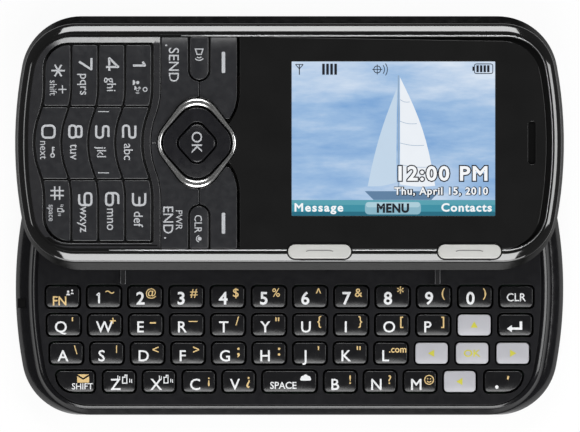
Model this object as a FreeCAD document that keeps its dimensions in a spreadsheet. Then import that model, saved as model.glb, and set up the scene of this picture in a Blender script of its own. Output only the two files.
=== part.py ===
import FreeCAD, Part
import math
import os
import re
import Sketcher

# Side-sliding messaging phone, drawn with the upper half slid open.
#
# Frame: the origin is the centre of the base's flat back face.  +X runs along
# the phone towards the earpiece, +Y across it in the direction in which the
# upper half opens, and +Z up out of the keyboard.  The base is drawn where it
# stands.  The upper half is drawn centred over the origin, as if closed, and
# every piece of it is then placed one slide travel along +Y.
#
# Each size is a cell of the sheet "Sizes", in millimetres or degrees.
SIZES = {
    # outline shared by both halves
    "body_length": 114.0,
    "body_width": 52.7,
    "end_bulge_radius": 88.6,
    "corner_radius": 12.5,
    "slide_travel": 30.2,
    # base: rear case, deck and back cover
    "rear_case_depth": 5.0,
    "deck_level": 8.6,
    "deck_plate": 1.0,
    "case_wall": 1.2,
    "case_floor": 1.0,
    "back_edge_bevel": 1.4,
    "flank_inset_side": 1.7,
    "flank_inset_end": 4.4,
    "deck_corner_radius": 8.5,
    "deck_bevel": 0.45,
    "cover_thickness": 0.9,
    "cover_side": 6.35,
    "cover_front_inset": 35.0,
    "cover_gap": 0.12,
    "cover_shelf": 0.75,
    "cover_lip": 0.7,
    "cover_grip_radius": 5.0,
    "cover_grip_depth": 0.35,
    "cover_grip_inset": 19.0,
    "bay_length": 41.0,
    "bay_width": 31.0,
    "bay_front_gap": 9.5,
    "bay_rib": 0.8,
    "well_margin": 1.5,
    "well_end_wall": 3.0,
    "well_clip": 8.0,
    # electronics in the base
    "battery_thickness": 4.0,
    "battery_gap": 0.3,
    "battery_clip": 0.8,
    "board_margin": 0.3,
    "board_end_margin": 1.8,
    "board_clip": 6.0,
    "board_thickness": 0.8,
    "board_gap": 0.4,
    "shield_height": 0.6,
    "shield_length": 26.0,
    "shield_width": 17.0,
    "contact_width": 1.4,
    "contact_pitch": 2.6,
    "speaker_length": 15.0,
    "speaker_width": 11.0,
    "speaker_height": 2.8,
    "speaker_clip": 1.2,
    "speaker_inset": 18.5,
    "speaker_place_y": 11.5,
    "grille_slot_length": 5.0,
    "grille_slot_width": 0.7,
    "grille_pitch": 1.6,
    "camera_inset": 12.0,
    "camera_row": -5.2,
    "camera_side": 8.0,
    "camera_barrel_radius": 2.6,
    "camera_window_radius": 3.4,
    "camera_window_depth": 0.7,
    "jack_bore_radius": 1.3,
    "jack_barrel_radius": 1.75,
    "jack_length": 11.0,
    "jack_depth": 9.5,
    "jack_axis_height": 2.85,
    "jack_place": -12.0,
    "port_width": 7.4,
    "port_height": 2.4,
    "port_length": 5.6,
    "port_shell": 0.3,
    "port_place": 9.0,
    "motor_radius": 1.7,
    "motor_length": 9.0,
    "motor_inset": 26.0,
    "motor_side": 10.35,
    "microphone_radius": 1.9,
    "microphone_height": 1.4,
    "microphone_place": -2.8,
    "microphone_inset": 7.6,
    "notch_width": 1.6,
    "notch_depth": 2.0,
    "antenna_length": 16.0,
    "antenna_width": 5.0,
    "antenna_thickness": 0.4,
    "antenna_inset": 6.4,
    "antenna_place_y": -11.0,
    # screws
    "screw_radius": 0.7,
    "screw_head_radius": 1.3,
    "screw_head_height": 0.6,
    "flat_head_height": 0.45,
    "screw_hole_gap": 0.1,
    "screw_thread_gap": 0.02,
    "screw_end_gap": 0.1,
    "case_screw_inset": 12.5,
    "case_screw_side": 6.55,
    "case_screw_low": 3.4,
    "boss_wall": 1.0,
    # slide mechanism
    "plate_screw_x": 20.0,
    "plate_screw_side": 7.35,
    "slide_gap": 0.7,
    "rail_inset_right": 26.2,
    "rail_inset_left": 22.4,
    "rail_low": 0.7,
    "rail_side": 3.35,
    "rail_margin": 2.5,
    "rail_web": 0.4,
    "rail_head_width": 0.78,
    "rail_head_height": 0.3,
    "rail_clearance": 0.1,
    "rail_slot_gap": 0.06,
    "fixed_plate_thickness": 0.5,
    "moving_plate_thickness": 0.6,
    "plate_margin": 4.0,
    "plate_side": 2.2,
    # keyboard
    "last_row_side": 6.99,
    "first_row_place": -1.75,
    "row_1_end": 9.85,
    "row_2_end": 10.07,
    "row_3_end": 10.6,
    "space_step": 10.55,
    "space_width": 11.07,
    "corner_key_end": 12.5,
    "corner_step": 9.1,
    "corner_key_width": 7.8,
    "corner_key_clip": 2.4,
    "corner_key_point": 0.4,
    "cap_space": 1.72,
    "cap_row_space": 1.52,
    "cap_clip": 0.8,
    "cap_draft": 4.0,
    "cap_proud": 0.4,
    "cap_gap": 0.2,
    "key_under_gap": 0.35,
    "dome_sheet": 0.2,
    # side key
    "rocker_length": 16.0,
    "rocker_height": 2.0,
    "rocker_place": 12.0,
    "rocker_level": 2.9,
    "rocker_proud": 0.35,
    "rocker_depth": 2.3,
    "side_key_gap": 0.2,
    # upper half: shells
    "upper_rear_height": 3.0,
    "upper_front_height": 3.8,
    "upper_floor": 1.0,
    "upper_bottom_bevel": 0.5,
    "parting_lip": 1.0,
    "parting_ledge": 0.1,
    "post_half_width": 1.1,
    "plate_boss_height": 1.2,
    "shoulder_inset_side": 1.6,
    "shoulder_inset_end": 0.6,
    "shoulder_round": 2.3,
    "upper_wall": 1.0,
    "face_wall": 1.6,
    "trim_margin": 0.05,
    "trim_width": 0.32,
    "trim_height": 0.12,
    "seat_gap": 0.05,
    # display
    "window_thickness": 0.9,
    "window_gap": 0.6,
    "window_wave_half": 10.3,
    "window_wave_depth": 3.0,
    "screen_inset": 35.46,
    "screen_place_y": 0.88,
    "screen_length": 42.2,
    "screen_width": 32.0,
    "panel_border": 1.2,
    "panel_thickness": 2.0,
    "frame_wall": 1.0,
    "frame_floor": 0.4,
    "earpiece_inset": 6.76,
    "earpiece_slot_length": 8.9,
    "earpiece_slot_width": 1.56,
    "earpiece_mesh_thickness": 0.4,
    "earpiece_speaker_height": 1.6,
    "earpiece_speaker_width": 5.0,
    # number keys
    "number_block": 28.5,
    "number_pitch": 5.58,
    "number_side": 5.9,
    "number_inner": 7.58,
    "number_gap_x": 0.42,
    "number_gap_y": 0.3,
    "number_corner_round": 4.9,
    "wave_half": 11.6,
    "wave_depth": 2.07,
    # navigation keys
    "rib_width": 1.9,
    "nav_length": 15.7,
    "nav_side": 4.45,
    "nav_parting_step": 7.87,
    "slot_key_width": 3.9,
    "slot_key_end": 13.1,
    "ring_step": 7.4,
    "ring_half_x": 8.18,
    "ring_half_y": 9.29,
    "ring_corner": 5.0,
    "pad_half_x": 7.05,
    "pad_half_y": 7.3,
    "pad_corner": 4.2,
    "ok_half_x": 4.0,
    "ok_half_y": 4.2,
    "ok_corner": 1.9,
    "ring_proud": 0.45,
    "ring_bevel": 0.4,
    "pad_proud": 0.1,
    "nav_plate_radius": 5.9,
    "nav_plate_thickness": 0.3,
    "key_gap": 0.16,
    # landscape soft keys on the lower rim
    "wide_key_left_step": 15.31,
    "wide_key_right_step": 15.76,
    "wide_key_side": 3.87,
    "wide_key_length": 13.1,
    "wide_key_width": 3.0,
    "wide_key_height": 1.9,
    "wide_key_proud": 0.15,
    # keypad board
    "upper_board": 0.8,
    "upper_board_gap": 0.6,
    "upper_board_margin": 0.4,
    "upper_board_clip": 7.0,
    "flex_width": 12.0,
    "flex_thickness": 0.2,
}

# Places and sizes that follow from those above.
FOLLOWING = {
    "half_length": "body_length / 2",
    "half_width": "body_width / 2",
    "cover_half_width": "half_width - cover_side",
    "cover_front": "half_length - cover_front_inset",
    "cover_grip_place": "cover_grip_inset - half_length",
    "bay_place": "cover_front - bay_front_gap - bay_length / 2",
    "speaker_place_x": "half_length - speaker_inset",
    "camera_place": "half_length - camera_inset",
    "motor_place_x": "half_length - motor_inset",
    "motor_place_y": "motor_side - half_width",
    "antenna_place_x": "antenna_inset - half_length",
    "case_screw_x": "half_length - case_screw_inset",
    "case_screw_high": "half_width - case_screw_side",
    "plate_screw_y": "half_width - plate_screw_side",
    "rail_right": "half_length - rail_inset_right",
    "rail_left": "rail_inset_left - half_length",
    "rail_high": "half_width - rail_side",
    "plate_half_width": "half_width - plate_side",
    "key_row_pitch": "(half_width - last_row_side + first_row_place) / 3",
    "cap_height": "key_row_pitch - cap_row_space",
    "row_1_reach": "half_length - row_1_end",
    "row_2_reach": "half_length - row_2_end",
    "row_3_reach": "half_length - row_3_end",
    "corner_key_place": "half_length - corner_key_end",
    "row_4_reach": "corner_key_place - corner_step",
    "row_4_pitch": "(row_4_reach - space_step) / 3",
    "number_edge_x": "number_block - half_length",
    "number_outer": "half_width - number_side",
    "nav_left": "number_edge_x + rib_width",
    "nav_right": "nav_left + nav_length",
    "nav_outer": "half_width - nav_side",
    "nav_parting": "nav_left + nav_parting_step",
    "nav_place": "nav_left + ring_step",
    "window_edge_x": "nav_right + window_gap",
    "screen_place_x": "half_length - screen_inset",
    "earpiece_place": "half_length - earpiece_inset",
    "wide_key_left": "screen_place_x - wide_key_left_step",
    "wide_key_right": "screen_place_x + wide_key_right_step",
    "wide_key_place": "wide_key_side - half_width",
}

doc = FreeCAD.newDocument("slider_phone")
sheet = doc.addObject("Spreadsheet::Sheet", "Sizes")
for line_number, (alias, size) in enumerate(SIZES.items(), start=1):
    sheet.set("A%d" % line_number, alias)
    sheet.set("B%d" % line_number, str(size))
    sheet.setAlias("B%d" % line_number, alias)
doc.recompute()
PARTS = {}


# ---------------------------------------------------------------- expressions

def bound(expression):
    """The expression with every size written as a reference to its cell."""
    def cell(match):
        word = match.group(0)
        if word in FOLLOWING:
            return "(%s)" % bound(FOLLOWING[word])
        return "Sizes." + word if word in SIZES else word
    return re.sub(r"[a-z][a-z_0-9]*", cell, str(expression))


def value(expression):
    """The number that an expression in the sheet's sizes stands for."""
    return float(sheet.evalExpression(bound(expression).replace("Sizes.", "")))


# Levels above the back face, each worked out from the sheet.
COVER_TOP = "(cover_thickness + cover_gap)"
SHELF_TOP = "(cover_thickness + cover_gap + cover_shelf)"
BATTERY_FOOT = "(cover_thickness + cover_gap + 0.1)"
BOARD_FOOT = "(%s + battery_thickness + board_gap)" % BATTERY_FOOT
BOARD_TOP = "(%s + board_thickness)" % BOARD_FOOT
KEY_FOOT = "(%s + dome_sheet + key_under_gap)" % BOARD_TOP
DECK_UNDERSIDE = "(deck_level - deck_plate)"
SLIDER_FOOT = "(deck_level + slide_gap)"
PLATE_TOP = "(%s + moving_plate_thickness)" % SLIDER_FOOT
UPPER_FLOOR_TOP = "(%s + upper_floor)" % PLATE_TOP
PARTING = "(%s + upper_rear_height)" % SLIDER_FOOT
FACE = "(%s + upper_front_height)" % PARTING
FACE_UNDERSIDE = "(%s - face_wall)" % FACE
WINDOW_FOOT = "(%s - window_thickness)" % FACE
UPPER_BOARD_TOP = "(%s - upper_board_gap)" % FACE_UNDERSIDE
UPPER_BOARD_FOOT = "(%s - upper_board)" % UPPER_BOARD_TOP
FRONT_KEY_FOOT = "(%s + key_under_gap)" % UPPER_BOARD_TOP

# The flat face of the upper half, inside its round shoulder.
FACE_INSET_SIDE = "(shoulder_inset_side + shoulder_round)"
FACE_INSET_END = "(shoulder_inset_end + shoulder_round)"
FACE_CORNER = "(corner_radius - %s)" % FACE_INSET_SIDE


# ------------------------------------------------------------ feature helpers

def new_body(label, slides=False):
    """An empty body; a piece of the upper half is placed one travel along +Y."""
    body = doc.addObject("PartDesign::Body", label)
    body.Label = label
    body.AllowCompound = True
    if slides:
        body.setExpression("Placement.Base.y", bound("slide_travel"))
    PARTS[label] = body
    return body


def new_sketch(body, height, role="XY_Plane"):
    """A sketch on one of the body's own origin planes, moved out by a height."""
    sketch = body.newObject("Sketcher::SketchObject", body.Label + "_sketch")
    plane = next(f for f in body.Origin.OriginFeatures if f.Role == role)
    sketch.AttachmentSupport = [(plane, "")]
    sketch.MapMode = "FlatFace"
    sketch.setExpression("AttachmentOffset.Base.z", bound(height))
    return sketch


def pad(body, sketch, length, draft=None):
    """Material from the sketch upwards."""
    feature = body.newObject("PartDesign::Pad", body.Label + "_pad")
    feature.Profile = sketch
    feature.setExpression("Length", bound(length))
    if draft:
        feature.setExpression("TaperAngle", bound(draft))
    return settle(body, feature)


def pocket(body, sketch, length):
    """Material taken away from the sketch downwards; it has to remove some."""
    before = body.Shape.Volume
    feature = body.newObject("PartDesign::Pocket", body.Label + "_pocket")
    feature.Profile = sketch
    feature.setExpression("Length", bound(length))
    settle(body, feature)
    if body.Shape.Volume >= before:
        raise ValueError("%s: a pocket cuts nothing" % body.Label)
    return feature


def loft(body, foot, top):
    """Material between two outlines of as many edges, with straight flanks."""
    feature = body.newObject("PartDesign::AdditiveLoft", body.Label + "_loft")
    feature.Profile = foot
    feature.Sections = [top]
    feature.Ruled = True
    return settle(body, feature)


def dress(body, kind, edges, size):
    """A fillet or chamfer along the edges that a test picks."""
    base = body.Tip
    names = ["Edge%d" % n for n, edge in enumerate(base.Shape.Edges, start=1) if edges(edge)]
    feature = body.newObject("PartDesign::" + kind, body.Label + "_" + kind.lower())
    feature.Base = (base, names)
    feature.setExpression("Radius" if kind == "Fillet" else "Size", bound(size))
    return settle(body, feature)


def settle(body, feature):
    """Recompute, so that the next feature can read this one."""
    body.Tip = feature
    doc.recompute()
    return feature


def flat_at(height):
    """A test for edges that lie in the plane at a height."""
    level = value(height)

    def lies_there(edge):
        box = edge.BoundBox
        return abs(box.ZMin - level) < 1e-5 and abs(box.ZMax - level) < 1e-5
    return lies_there


# ------------------------------------------------------------- sketch helpers

def constrain(sketch, rules):
    """Add all the rules at once; each is a constraint's arguments and an expression."""
    made = [Sketcher.Constraint(*arguments) if size is None
            else Sketcher.Constraint(*arguments, value(size)) for arguments, size in rules]
    numbers = sketch.addConstraint(made)
    for number, (_, size) in zip(numbers, rules):
        if size is not None:
            sketch.setExpression("Constraints[%d]" % number, bound(size))


def at(geometry, end, x, y):
    """Rules that hold a point of the sketch at an expression in X and one in Y."""
    return [(("DistanceX", -1, 1, geometry, end), x), (("DistanceY", -1, 1, geometry, end), y)]


def circle(sketch, x, y, radius):
    centre = FreeCAD.Vector(value(x), value(y), 0)
    ring = Part.Circle(centre, FreeCAD.Vector(0, 0, 1), value(radius))
    number = sketch.addGeometry(ring, False)
    constrain(sketch, at(number, 3, x, y) + [(("Radius", number), radius)])


def polygon(sketch, corners):
    """A closed outline of straight lines; each corner is a pair of expressions."""
    places = [FreeCAD.Vector(value(x), value(y), 0) for x, y in corners]
    count = len(corners)
    lines = [Part.LineSegment(places[n], places[(n + 1) % count]) for n in range(count)]
    numbers = sketch.addGeometry(lines, False)
    rules = []
    for n, corner in enumerate(corners):
        rules.append((("Coincident", numbers[n - 1], 2, numbers[n], 1), None))
        rules.extend(at(numbers[n], 1, *corner))
    constrain(sketch, rules)


def rectangle(sketch, x, y, width, height, clips=None):
    """A rectangle about a centre; clips cut its corners at 45 degrees.

    The clips are four lengths, from the lower left corner anticlockwise.
    """
    low_x, high_x = "(%s - (%s) / 2)" % (x, width), "(%s + (%s) / 2)" % (x, width)
    low_y, high_y = "(%s - (%s) / 2)" % (y, height), "(%s + (%s) / 2)" % (y, height)
    if clips is None:
        polygon(sketch, [(low_x, low_y), (high_x, low_y), (high_x, high_y), (low_x, high_y)])
        return
    a, b, c, d = clips
    polygon(sketch, [
        ("%s + %s" % (low_x, a), low_y), ("%s - %s" % (high_x, b), low_y),
        (high_x, "%s + %s" % (low_y, b)), (high_x, "%s - %s" % (high_y, c)),
        ("%s - %s" % (high_x, c), high_y), ("%s + %s" % (low_x, d), high_y),
        (low_x, "%s - %s" % (high_y, d)), (low_x, "%s + %s" % (low_y, a))])


def chain(sketch, pieces):
    """A closed outline of lines and arcs, end to end.

    Each piece is two points for a line or three for an arc; a point is a pair
    of numbers.  Returns the numbers of the sketch's geometry.
    """
    shapes = []
    for piece in pieces:
        points = [FreeCAD.Vector(x, y, 0) for x, y in piece]
        shapes.append(Part.LineSegment(*points) if len(points) == 2 else Part.Arc(*points))
    return sketch.addGeometry(shapes, False)


def rounded_rectangle(sketch, x, y, width, height, radius):
    """A rectangle about a centre, with round corners held tangent to its sides."""
    middle_x, middle_y = value(x), value(y)
    half_x, half_y, round_r = value(width) / 2, value(height) / 2, value(radius)
    inner_x, inner_y = half_x - round_r, half_y - round_r
    lean = round_r * math.sqrt(0.5)
    pieces = []
    for sign_x, sign_y in ((1, -1), (1, 1), (-1, 1), (-1, -1)):
        corner = (middle_x + sign_x * inner_x, middle_y + sign_y * inner_y)
        along_x = (corner[0], corner[1] + sign_y * round_r)
        along_y = (corner[0] + sign_x * round_r, corner[1])
        middle = (corner[0] + sign_x * lean, corner[1] + sign_y * lean)
        start, end = (along_x, along_y) if sign_x * sign_y < 0 else (along_y, along_x)
        pieces.append((start, middle, end))
    sides = []
    for n, piece in enumerate(pieces):
        sides.append(piece)
        sides.append((piece[-1], pieces[(n + 1) % 4][0]))
    numbers = chain(sketch, sides)
    rules = []
    for n in range(8):
        rules.append((("Tangent", numbers[n], 2, numbers[(n + 1) % 8], 1), None))
    right_arc, right, top_arc, top, left_arc, left, bottom_arc, bottom = numbers
    rules += [(("Vertical", right), None), (("Vertical", left), None),
              (("Horizontal", top), None), (("Horizontal", bottom), None),
              (("Radius", right_arc), radius)]
    rules += [(("Equal", right_arc, arc), None) for arc in (top_arc, left_arc, bottom_arc)]
    rules += [(("DistanceX", -1, 1, right, 1), "%s + (%s) / 2" % (x, width)),
              (("DistanceX", -1, 1, left, 1), "%s - (%s) / 2" % (x, width)),
              (("DistanceY", -1, 1, top, 1), "%s + (%s) / 2" % (y, height)),
              (("DistanceY", -1, 1, bottom, 1), "%s - (%s) / 2" % (y, height))]
    constrain(sketch, rules)


def case_outline(sketch, inset_side, inset_end, corner):
    """The phone's outline, drawn in: straight sides, bulged ends, round corners."""
    length, width = "(body_length / 2 - (%s))" % inset_end, "(body_width / 2 - (%s))" % inset_side
    half_length, half_width, round_r = value(length), value(width), value(corner)
    bulge = value("end_bulge_radius")
    end_x = half_length - bulge
    corner_x = end_x + math.sqrt((bulge - round_r) ** 2 - (half_width - round_r) ** 2)
    corner_y = half_width - round_r
    reach = bulge / (bulge - round_r)
    touch = (end_x + (corner_x - end_x) * reach, corner_y * reach)
    turn = (math.atan2(corner_y, corner_x - end_x) + math.pi / 2) / 2
    middle = (corner_x + round_r * math.cos(turn), corner_y + round_r * math.sin(turn))
    numbers = chain(sketch, [
        ((touch[0], -touch[1]), (half_length, 0), touch),
        (touch, middle, (corner_x, half_width)),
        ((corner_x, half_width), (-corner_x, half_width)),
        ((-corner_x, half_width), (-middle[0], middle[1]), (-touch[0], touch[1])),
        ((-touch[0], touch[1]), (-half_length, 0), (-touch[0], -touch[1])),
        ((-touch[0], -touch[1]), (-middle[0], -middle[1]), (-corner_x, -half_width)),
        ((-corner_x, -half_width), (corner_x, -half_width)),
        ((corner_x, -half_width), (middle[0], -middle[1]), (touch[0], -touch[1]))])
    right, corner_a, top, corner_b, left, corner_c, bottom, corner_d = numbers
    rules = [(("Tangent", numbers[n - 1], 2, numbers[n], 1), None) for n in range(8)]
    rules += [(("Horizontal", top), None), (("Horizontal", bottom), None),
              (("Radius", right), "end_bulge_radius"), (("Equal", right, left), None),
              (("Radius", corner_a), corner)]
    rules += [(("Equal", corner_a, arc), None) for arc in (corner_b, corner_c, corner_d)]
    rules += [(("PointOnObject", right, 3, -1), None), (("PointOnObject", left, 3, -1), None),
              (("DistanceX", -1, 1, right, 3), "%s - end_bulge_radius" % length),
              (("DistanceX", -1, 1, left, 3), "end_bulge_radius - %s" % length),
              (("DistanceY", -1, 1, top, 1), width),
              (("DistanceY", -1, 1, bottom, 1), "-%s" % width)]
    constrain(sketch, rules)


def skin(body, low, low_insets, high, high_insets):
    """A sloping flank: a loft between the outline drawn in at two levels."""
    foot = new_sketch(body, low)
    case_outline(foot, *low_insets)
    top = new_sketch(body, high)
    case_outline(top, *high_insets)
    loft(body, foot, top)


def rounded_diamond(sketch, x, y, half_x, half_y, corner):
    """A diamond with round corners, given its reach along X and Y."""
    place_x, place_y, round_r = value(x), value(y), value(corner)
    inner_x, inner_y = value(half_x) - round_r, value(half_y) - round_r
    size = math.hypot(inner_x, inner_y)
    lean_x, lean_y = round_r * inner_y / size, round_r * inner_x / size
    corners = ((inner_x, 0), (0, inner_y), (-inner_x, 0), (0, -inner_y))
    leans = ((lean_x, lean_y), (-lean_x, lean_y), (-lean_x, -lean_y), (lean_x, -lean_y))
    pieces = []
    for n, (corner_x, corner_y) in enumerate(corners):
        middle_x, middle_y = place_x + corner_x, place_y + corner_y
        before, after = leans[n - 1], leans[n]
        outward = math.atan2(corner_y, corner_x)
        pieces.append(((middle_x + before[0], middle_y + before[1]),
                       (middle_x + round_r * math.cos(outward), middle_y + round_r * math.sin(outward)),
                       (middle_x + after[0], middle_y + after[1])))
    sides = []
    for n, piece in enumerate(pieces):
        sides.append(piece)
        sides.append((piece[2], pieces[(n + 1) % 4][0]))
    numbers = chain(sketch, sides)
    rules = [(("Tangent", numbers[n - 1], 2, numbers[n], 1), None) for n in range(8)]
    rules.append((("Radius", numbers[0]), corner))
    rules += [(("Equal", numbers[0], arc), None) for arc in numbers[2::2]]
    reach_x, reach_y = "((%s) - (%s))" % (half_x, corner), "((%s) - (%s))" % (half_y, corner)
    rules += at(numbers[0], 3, "%s + %s" % (x, reach_x), y)
    rules += at(numbers[2], 3, x, "%s + %s" % (y, reach_y))
    rules += at(numbers[4], 3, "%s - %s" % (x, reach_x), y)
    rules += at(numbers[6], 3, x, "%s - %s" % (y, reach_y))
    constrain(sketch, rules)


def wave(edge, low, high):
    """Lines and arcs of a wavy edge, from a low to a high place along Y.

    The edge is (x, half, depth) as expressions: straight at x beyond half, and
    swung out by depth towards -X at the middle, in three equal tangent arcs.
    """
    x, half, depth = (value(size) for size in edge)
    radius = (half ** 2 + depth ** 2) / (4 * depth)

    def place(y):
        away = abs(y)
        if away >= half:
            return (x, y)
        if away >= half / 2:
            return (x - radius + math.sqrt(radius ** 2 - (half - away) ** 2), y)
        return (x - depth + radius - math.sqrt(radius ** 2 - away ** 2), y)

    turns = [y for y in (-half, -half / 2, half / 2, half) if low + 0.01 < y < high - 0.01]
    stops = [low] + turns + [high]
    pieces = []
    for start, end in zip(stops, stops[1:]):
        middle = (start + end) / 2
        if abs(middle) > half:
            pieces.append((place(start), place(end)))
        else:
            pieces.append((place(start), place(middle), place(end)))
    return pieces


def strip(sketch, left, right, low, high, round_low=0, round_high=0):
    """The area between two wavy edges; its left corners can be rounded."""
    y_low, y_high = value(low), value(high)
    radius_low, radius_high = value(round_low), value(round_high)
    up = wave(right, y_low, y_high)
    down = [piece[::-1] for piece in wave(left, y_low + radius_low, y_high - radius_high)][::-1]
    top_start, top_end = up[-1][-1], down[0][0]
    bottom_start, bottom_end = down[-1][-1], up[0][0]
    pieces = list(up)
    lean = 1 - math.sqrt(0.5)
    if radius_high:
        corner = (top_end[0] + radius_high, y_high)
        middle = (top_end[0] + lean * radius_high, y_high - lean * radius_high)
        pieces += [(top_start, corner), (corner, middle, top_end)]
    else:
        pieces.append((top_start, top_end))
    pieces += down
    if radius_low:
        corner = (bottom_start[0] + radius_low, y_low)
        middle = (bottom_start[0] + lean * radius_low, y_low + lean * radius_low)
        pieces += [(bottom_start, middle, corner), (corner, bottom_end)]
    else:
        pieces.append((bottom_start, bottom_end))
    numbers = chain(sketch, pieces)
    constrain(sketch, [(("Block", number), None) for number in numbers])


def window_outline(sketch, grow):
    """The display window: a wavy left edge, and the face's outline to the right."""
    margin = "trim_margin + trim_width + seat_gap - (%s)" % grow
    half_length = value("body_length / 2 - (%s) - (%s)" % (FACE_INSET_END, margin))
    half_width = value("body_width / 2 - (%s) - (%s)" % (FACE_INSET_SIDE, margin))
    round_r = value("%s - (%s)" % (FACE_CORNER, margin))
    bulge = value("end_bulge_radius")
    end_x = half_length - bulge
    corner_x = end_x + math.sqrt((bulge - round_r) ** 2 - (half_width - round_r) ** 2)
    corner_y = half_width - round_r
    reach = bulge / (bulge - round_r)
    touch = (end_x + (corner_x - end_x) * reach, corner_y * reach)
    turn = (math.atan2(corner_y, corner_x - end_x) + math.pi / 2) / 2
    middle = (corner_x + round_r * math.cos(turn), corner_y + round_r * math.sin(turn))
    edge = ("window_edge_x - (%s)" % grow, "window_wave_half", "window_wave_depth")
    down = [piece[::-1] for piece in wave(edge, -half_width, half_width)][::-1]
    numbers = chain(sketch, [
        (down[-1][-1], (corner_x, -half_width)),
        ((corner_x, -half_width), (middle[0], -middle[1]), (touch[0], -touch[1])),
        ((touch[0], -touch[1]), (half_length, 0), touch),
        (touch, middle, (corner_x, half_width)),
        ((corner_x, half_width), down[0][0])] + down)
    constrain(sketch, [(("Block", number), None) for number in numbers])


def row_of(body, count, pitch, feature=None):
    """Repeat the body's last feature along +X."""
    base = feature or body.Tip
    copies = body.newObject("PartDesign::LinearPattern", body.Label + "_row")
    copies.Originals = [base]
    copies.Direction = (next(f for f in body.Origin.OriginFeatures if f.Role == "X_Axis"), [""])
    copies.Mode = "Spacing"
    copies.setExpression("Offset", bound(pitch))
    copies.Occurrences = count
    return settle(body, copies)


def block(label, slides, foot, height, draw):
    """A piece of one height, standing on a level, whose outline is drawn by a function."""
    body = new_body(label, slides)
    sketch = new_sketch(body, foot)
    draw(sketch)
    pad(body, sketch, height)
    return body


def cut(body, top, depth, draw, role="XY_Plane"):
    """Take away a drawn outline, from a level downwards."""
    sketch = new_sketch(body, top, role)
    draw(sketch)
    return pocket(body, sketch, depth)


def add(body, foot, height, draw, role="XY_Plane"):
    """Add a drawn outline to a body, from a level upwards."""
    sketch = new_sketch(body, foot, role)
    draw(sketch)
    return pad(body, sketch, height)


def circles(places, radius):
    """A drawing of equal circles."""
    def draw(sketch):
        for x, y in places:
            circle(sketch, x, y, radius)
    return draw


def octagons(places, radius):
    """A drawing of equal octagons, whose sides touch a circle of the radius."""
    clip = "(2 - sqrt(2)) * (%s)" % radius

    def draw(sketch):
        for x, y in places:
            rectangle(sketch, x, y, "2 * (%s)" % radius, "2 * (%s)" % radius, [clip] * 4)
    return draw


# ------------------------------------------------------------------- the base

CASE_SCREWS = [(x, y) for x in ("case_screw_x", "-case_screw_x")
               for y in ("case_screw_high", "case_screw_low")]
SCREW_SEAT = "(%s + screw_head_height)" % SHELF_TOP
COUNTERBORE = "(screw_head_radius + screw_hole_gap)"
RAILS = ("rail_left", "rail_right")
RAIL_MIDDLE = "((rail_low + rail_high) / 2)"
RAIL_LENGTH = "(rail_high - rail_low)"
PORT_FLOOR = "(%s + 0.08)" % SHELF_TOP
PORT_OUTER_WIDTH = "(port_width + 2 * port_shell)"
PORT_OUTER_HEIGHT = "(port_height + 2 * port_shell)"
ROW_REACHES = ("row_1_reach", "row_2_reach", "row_3_reach")
ROW_KEYS = 12
CAP_CLIPS = ("cap_clip",) * 4
LEFT_CORNER_CLIPS = ("corner_key_clip", "cap_clip", "cap_clip", "corner_key_point")
RIGHT_CORNER_CLIPS = ("cap_clip", "corner_key_clip", "corner_key_point", "cap_clip")


def back_shell(body):
    """The lower half's outside: the outline with a bevelled edge at the back."""
    sketch = new_sketch(body, "0")
    case_outline(sketch, "0", "0", "corner_radius")
    pad(body, sketch, "rear_case_depth")
    dress(body, "Chamfer", flat_at("0"), "back_edge_bevel")


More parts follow.
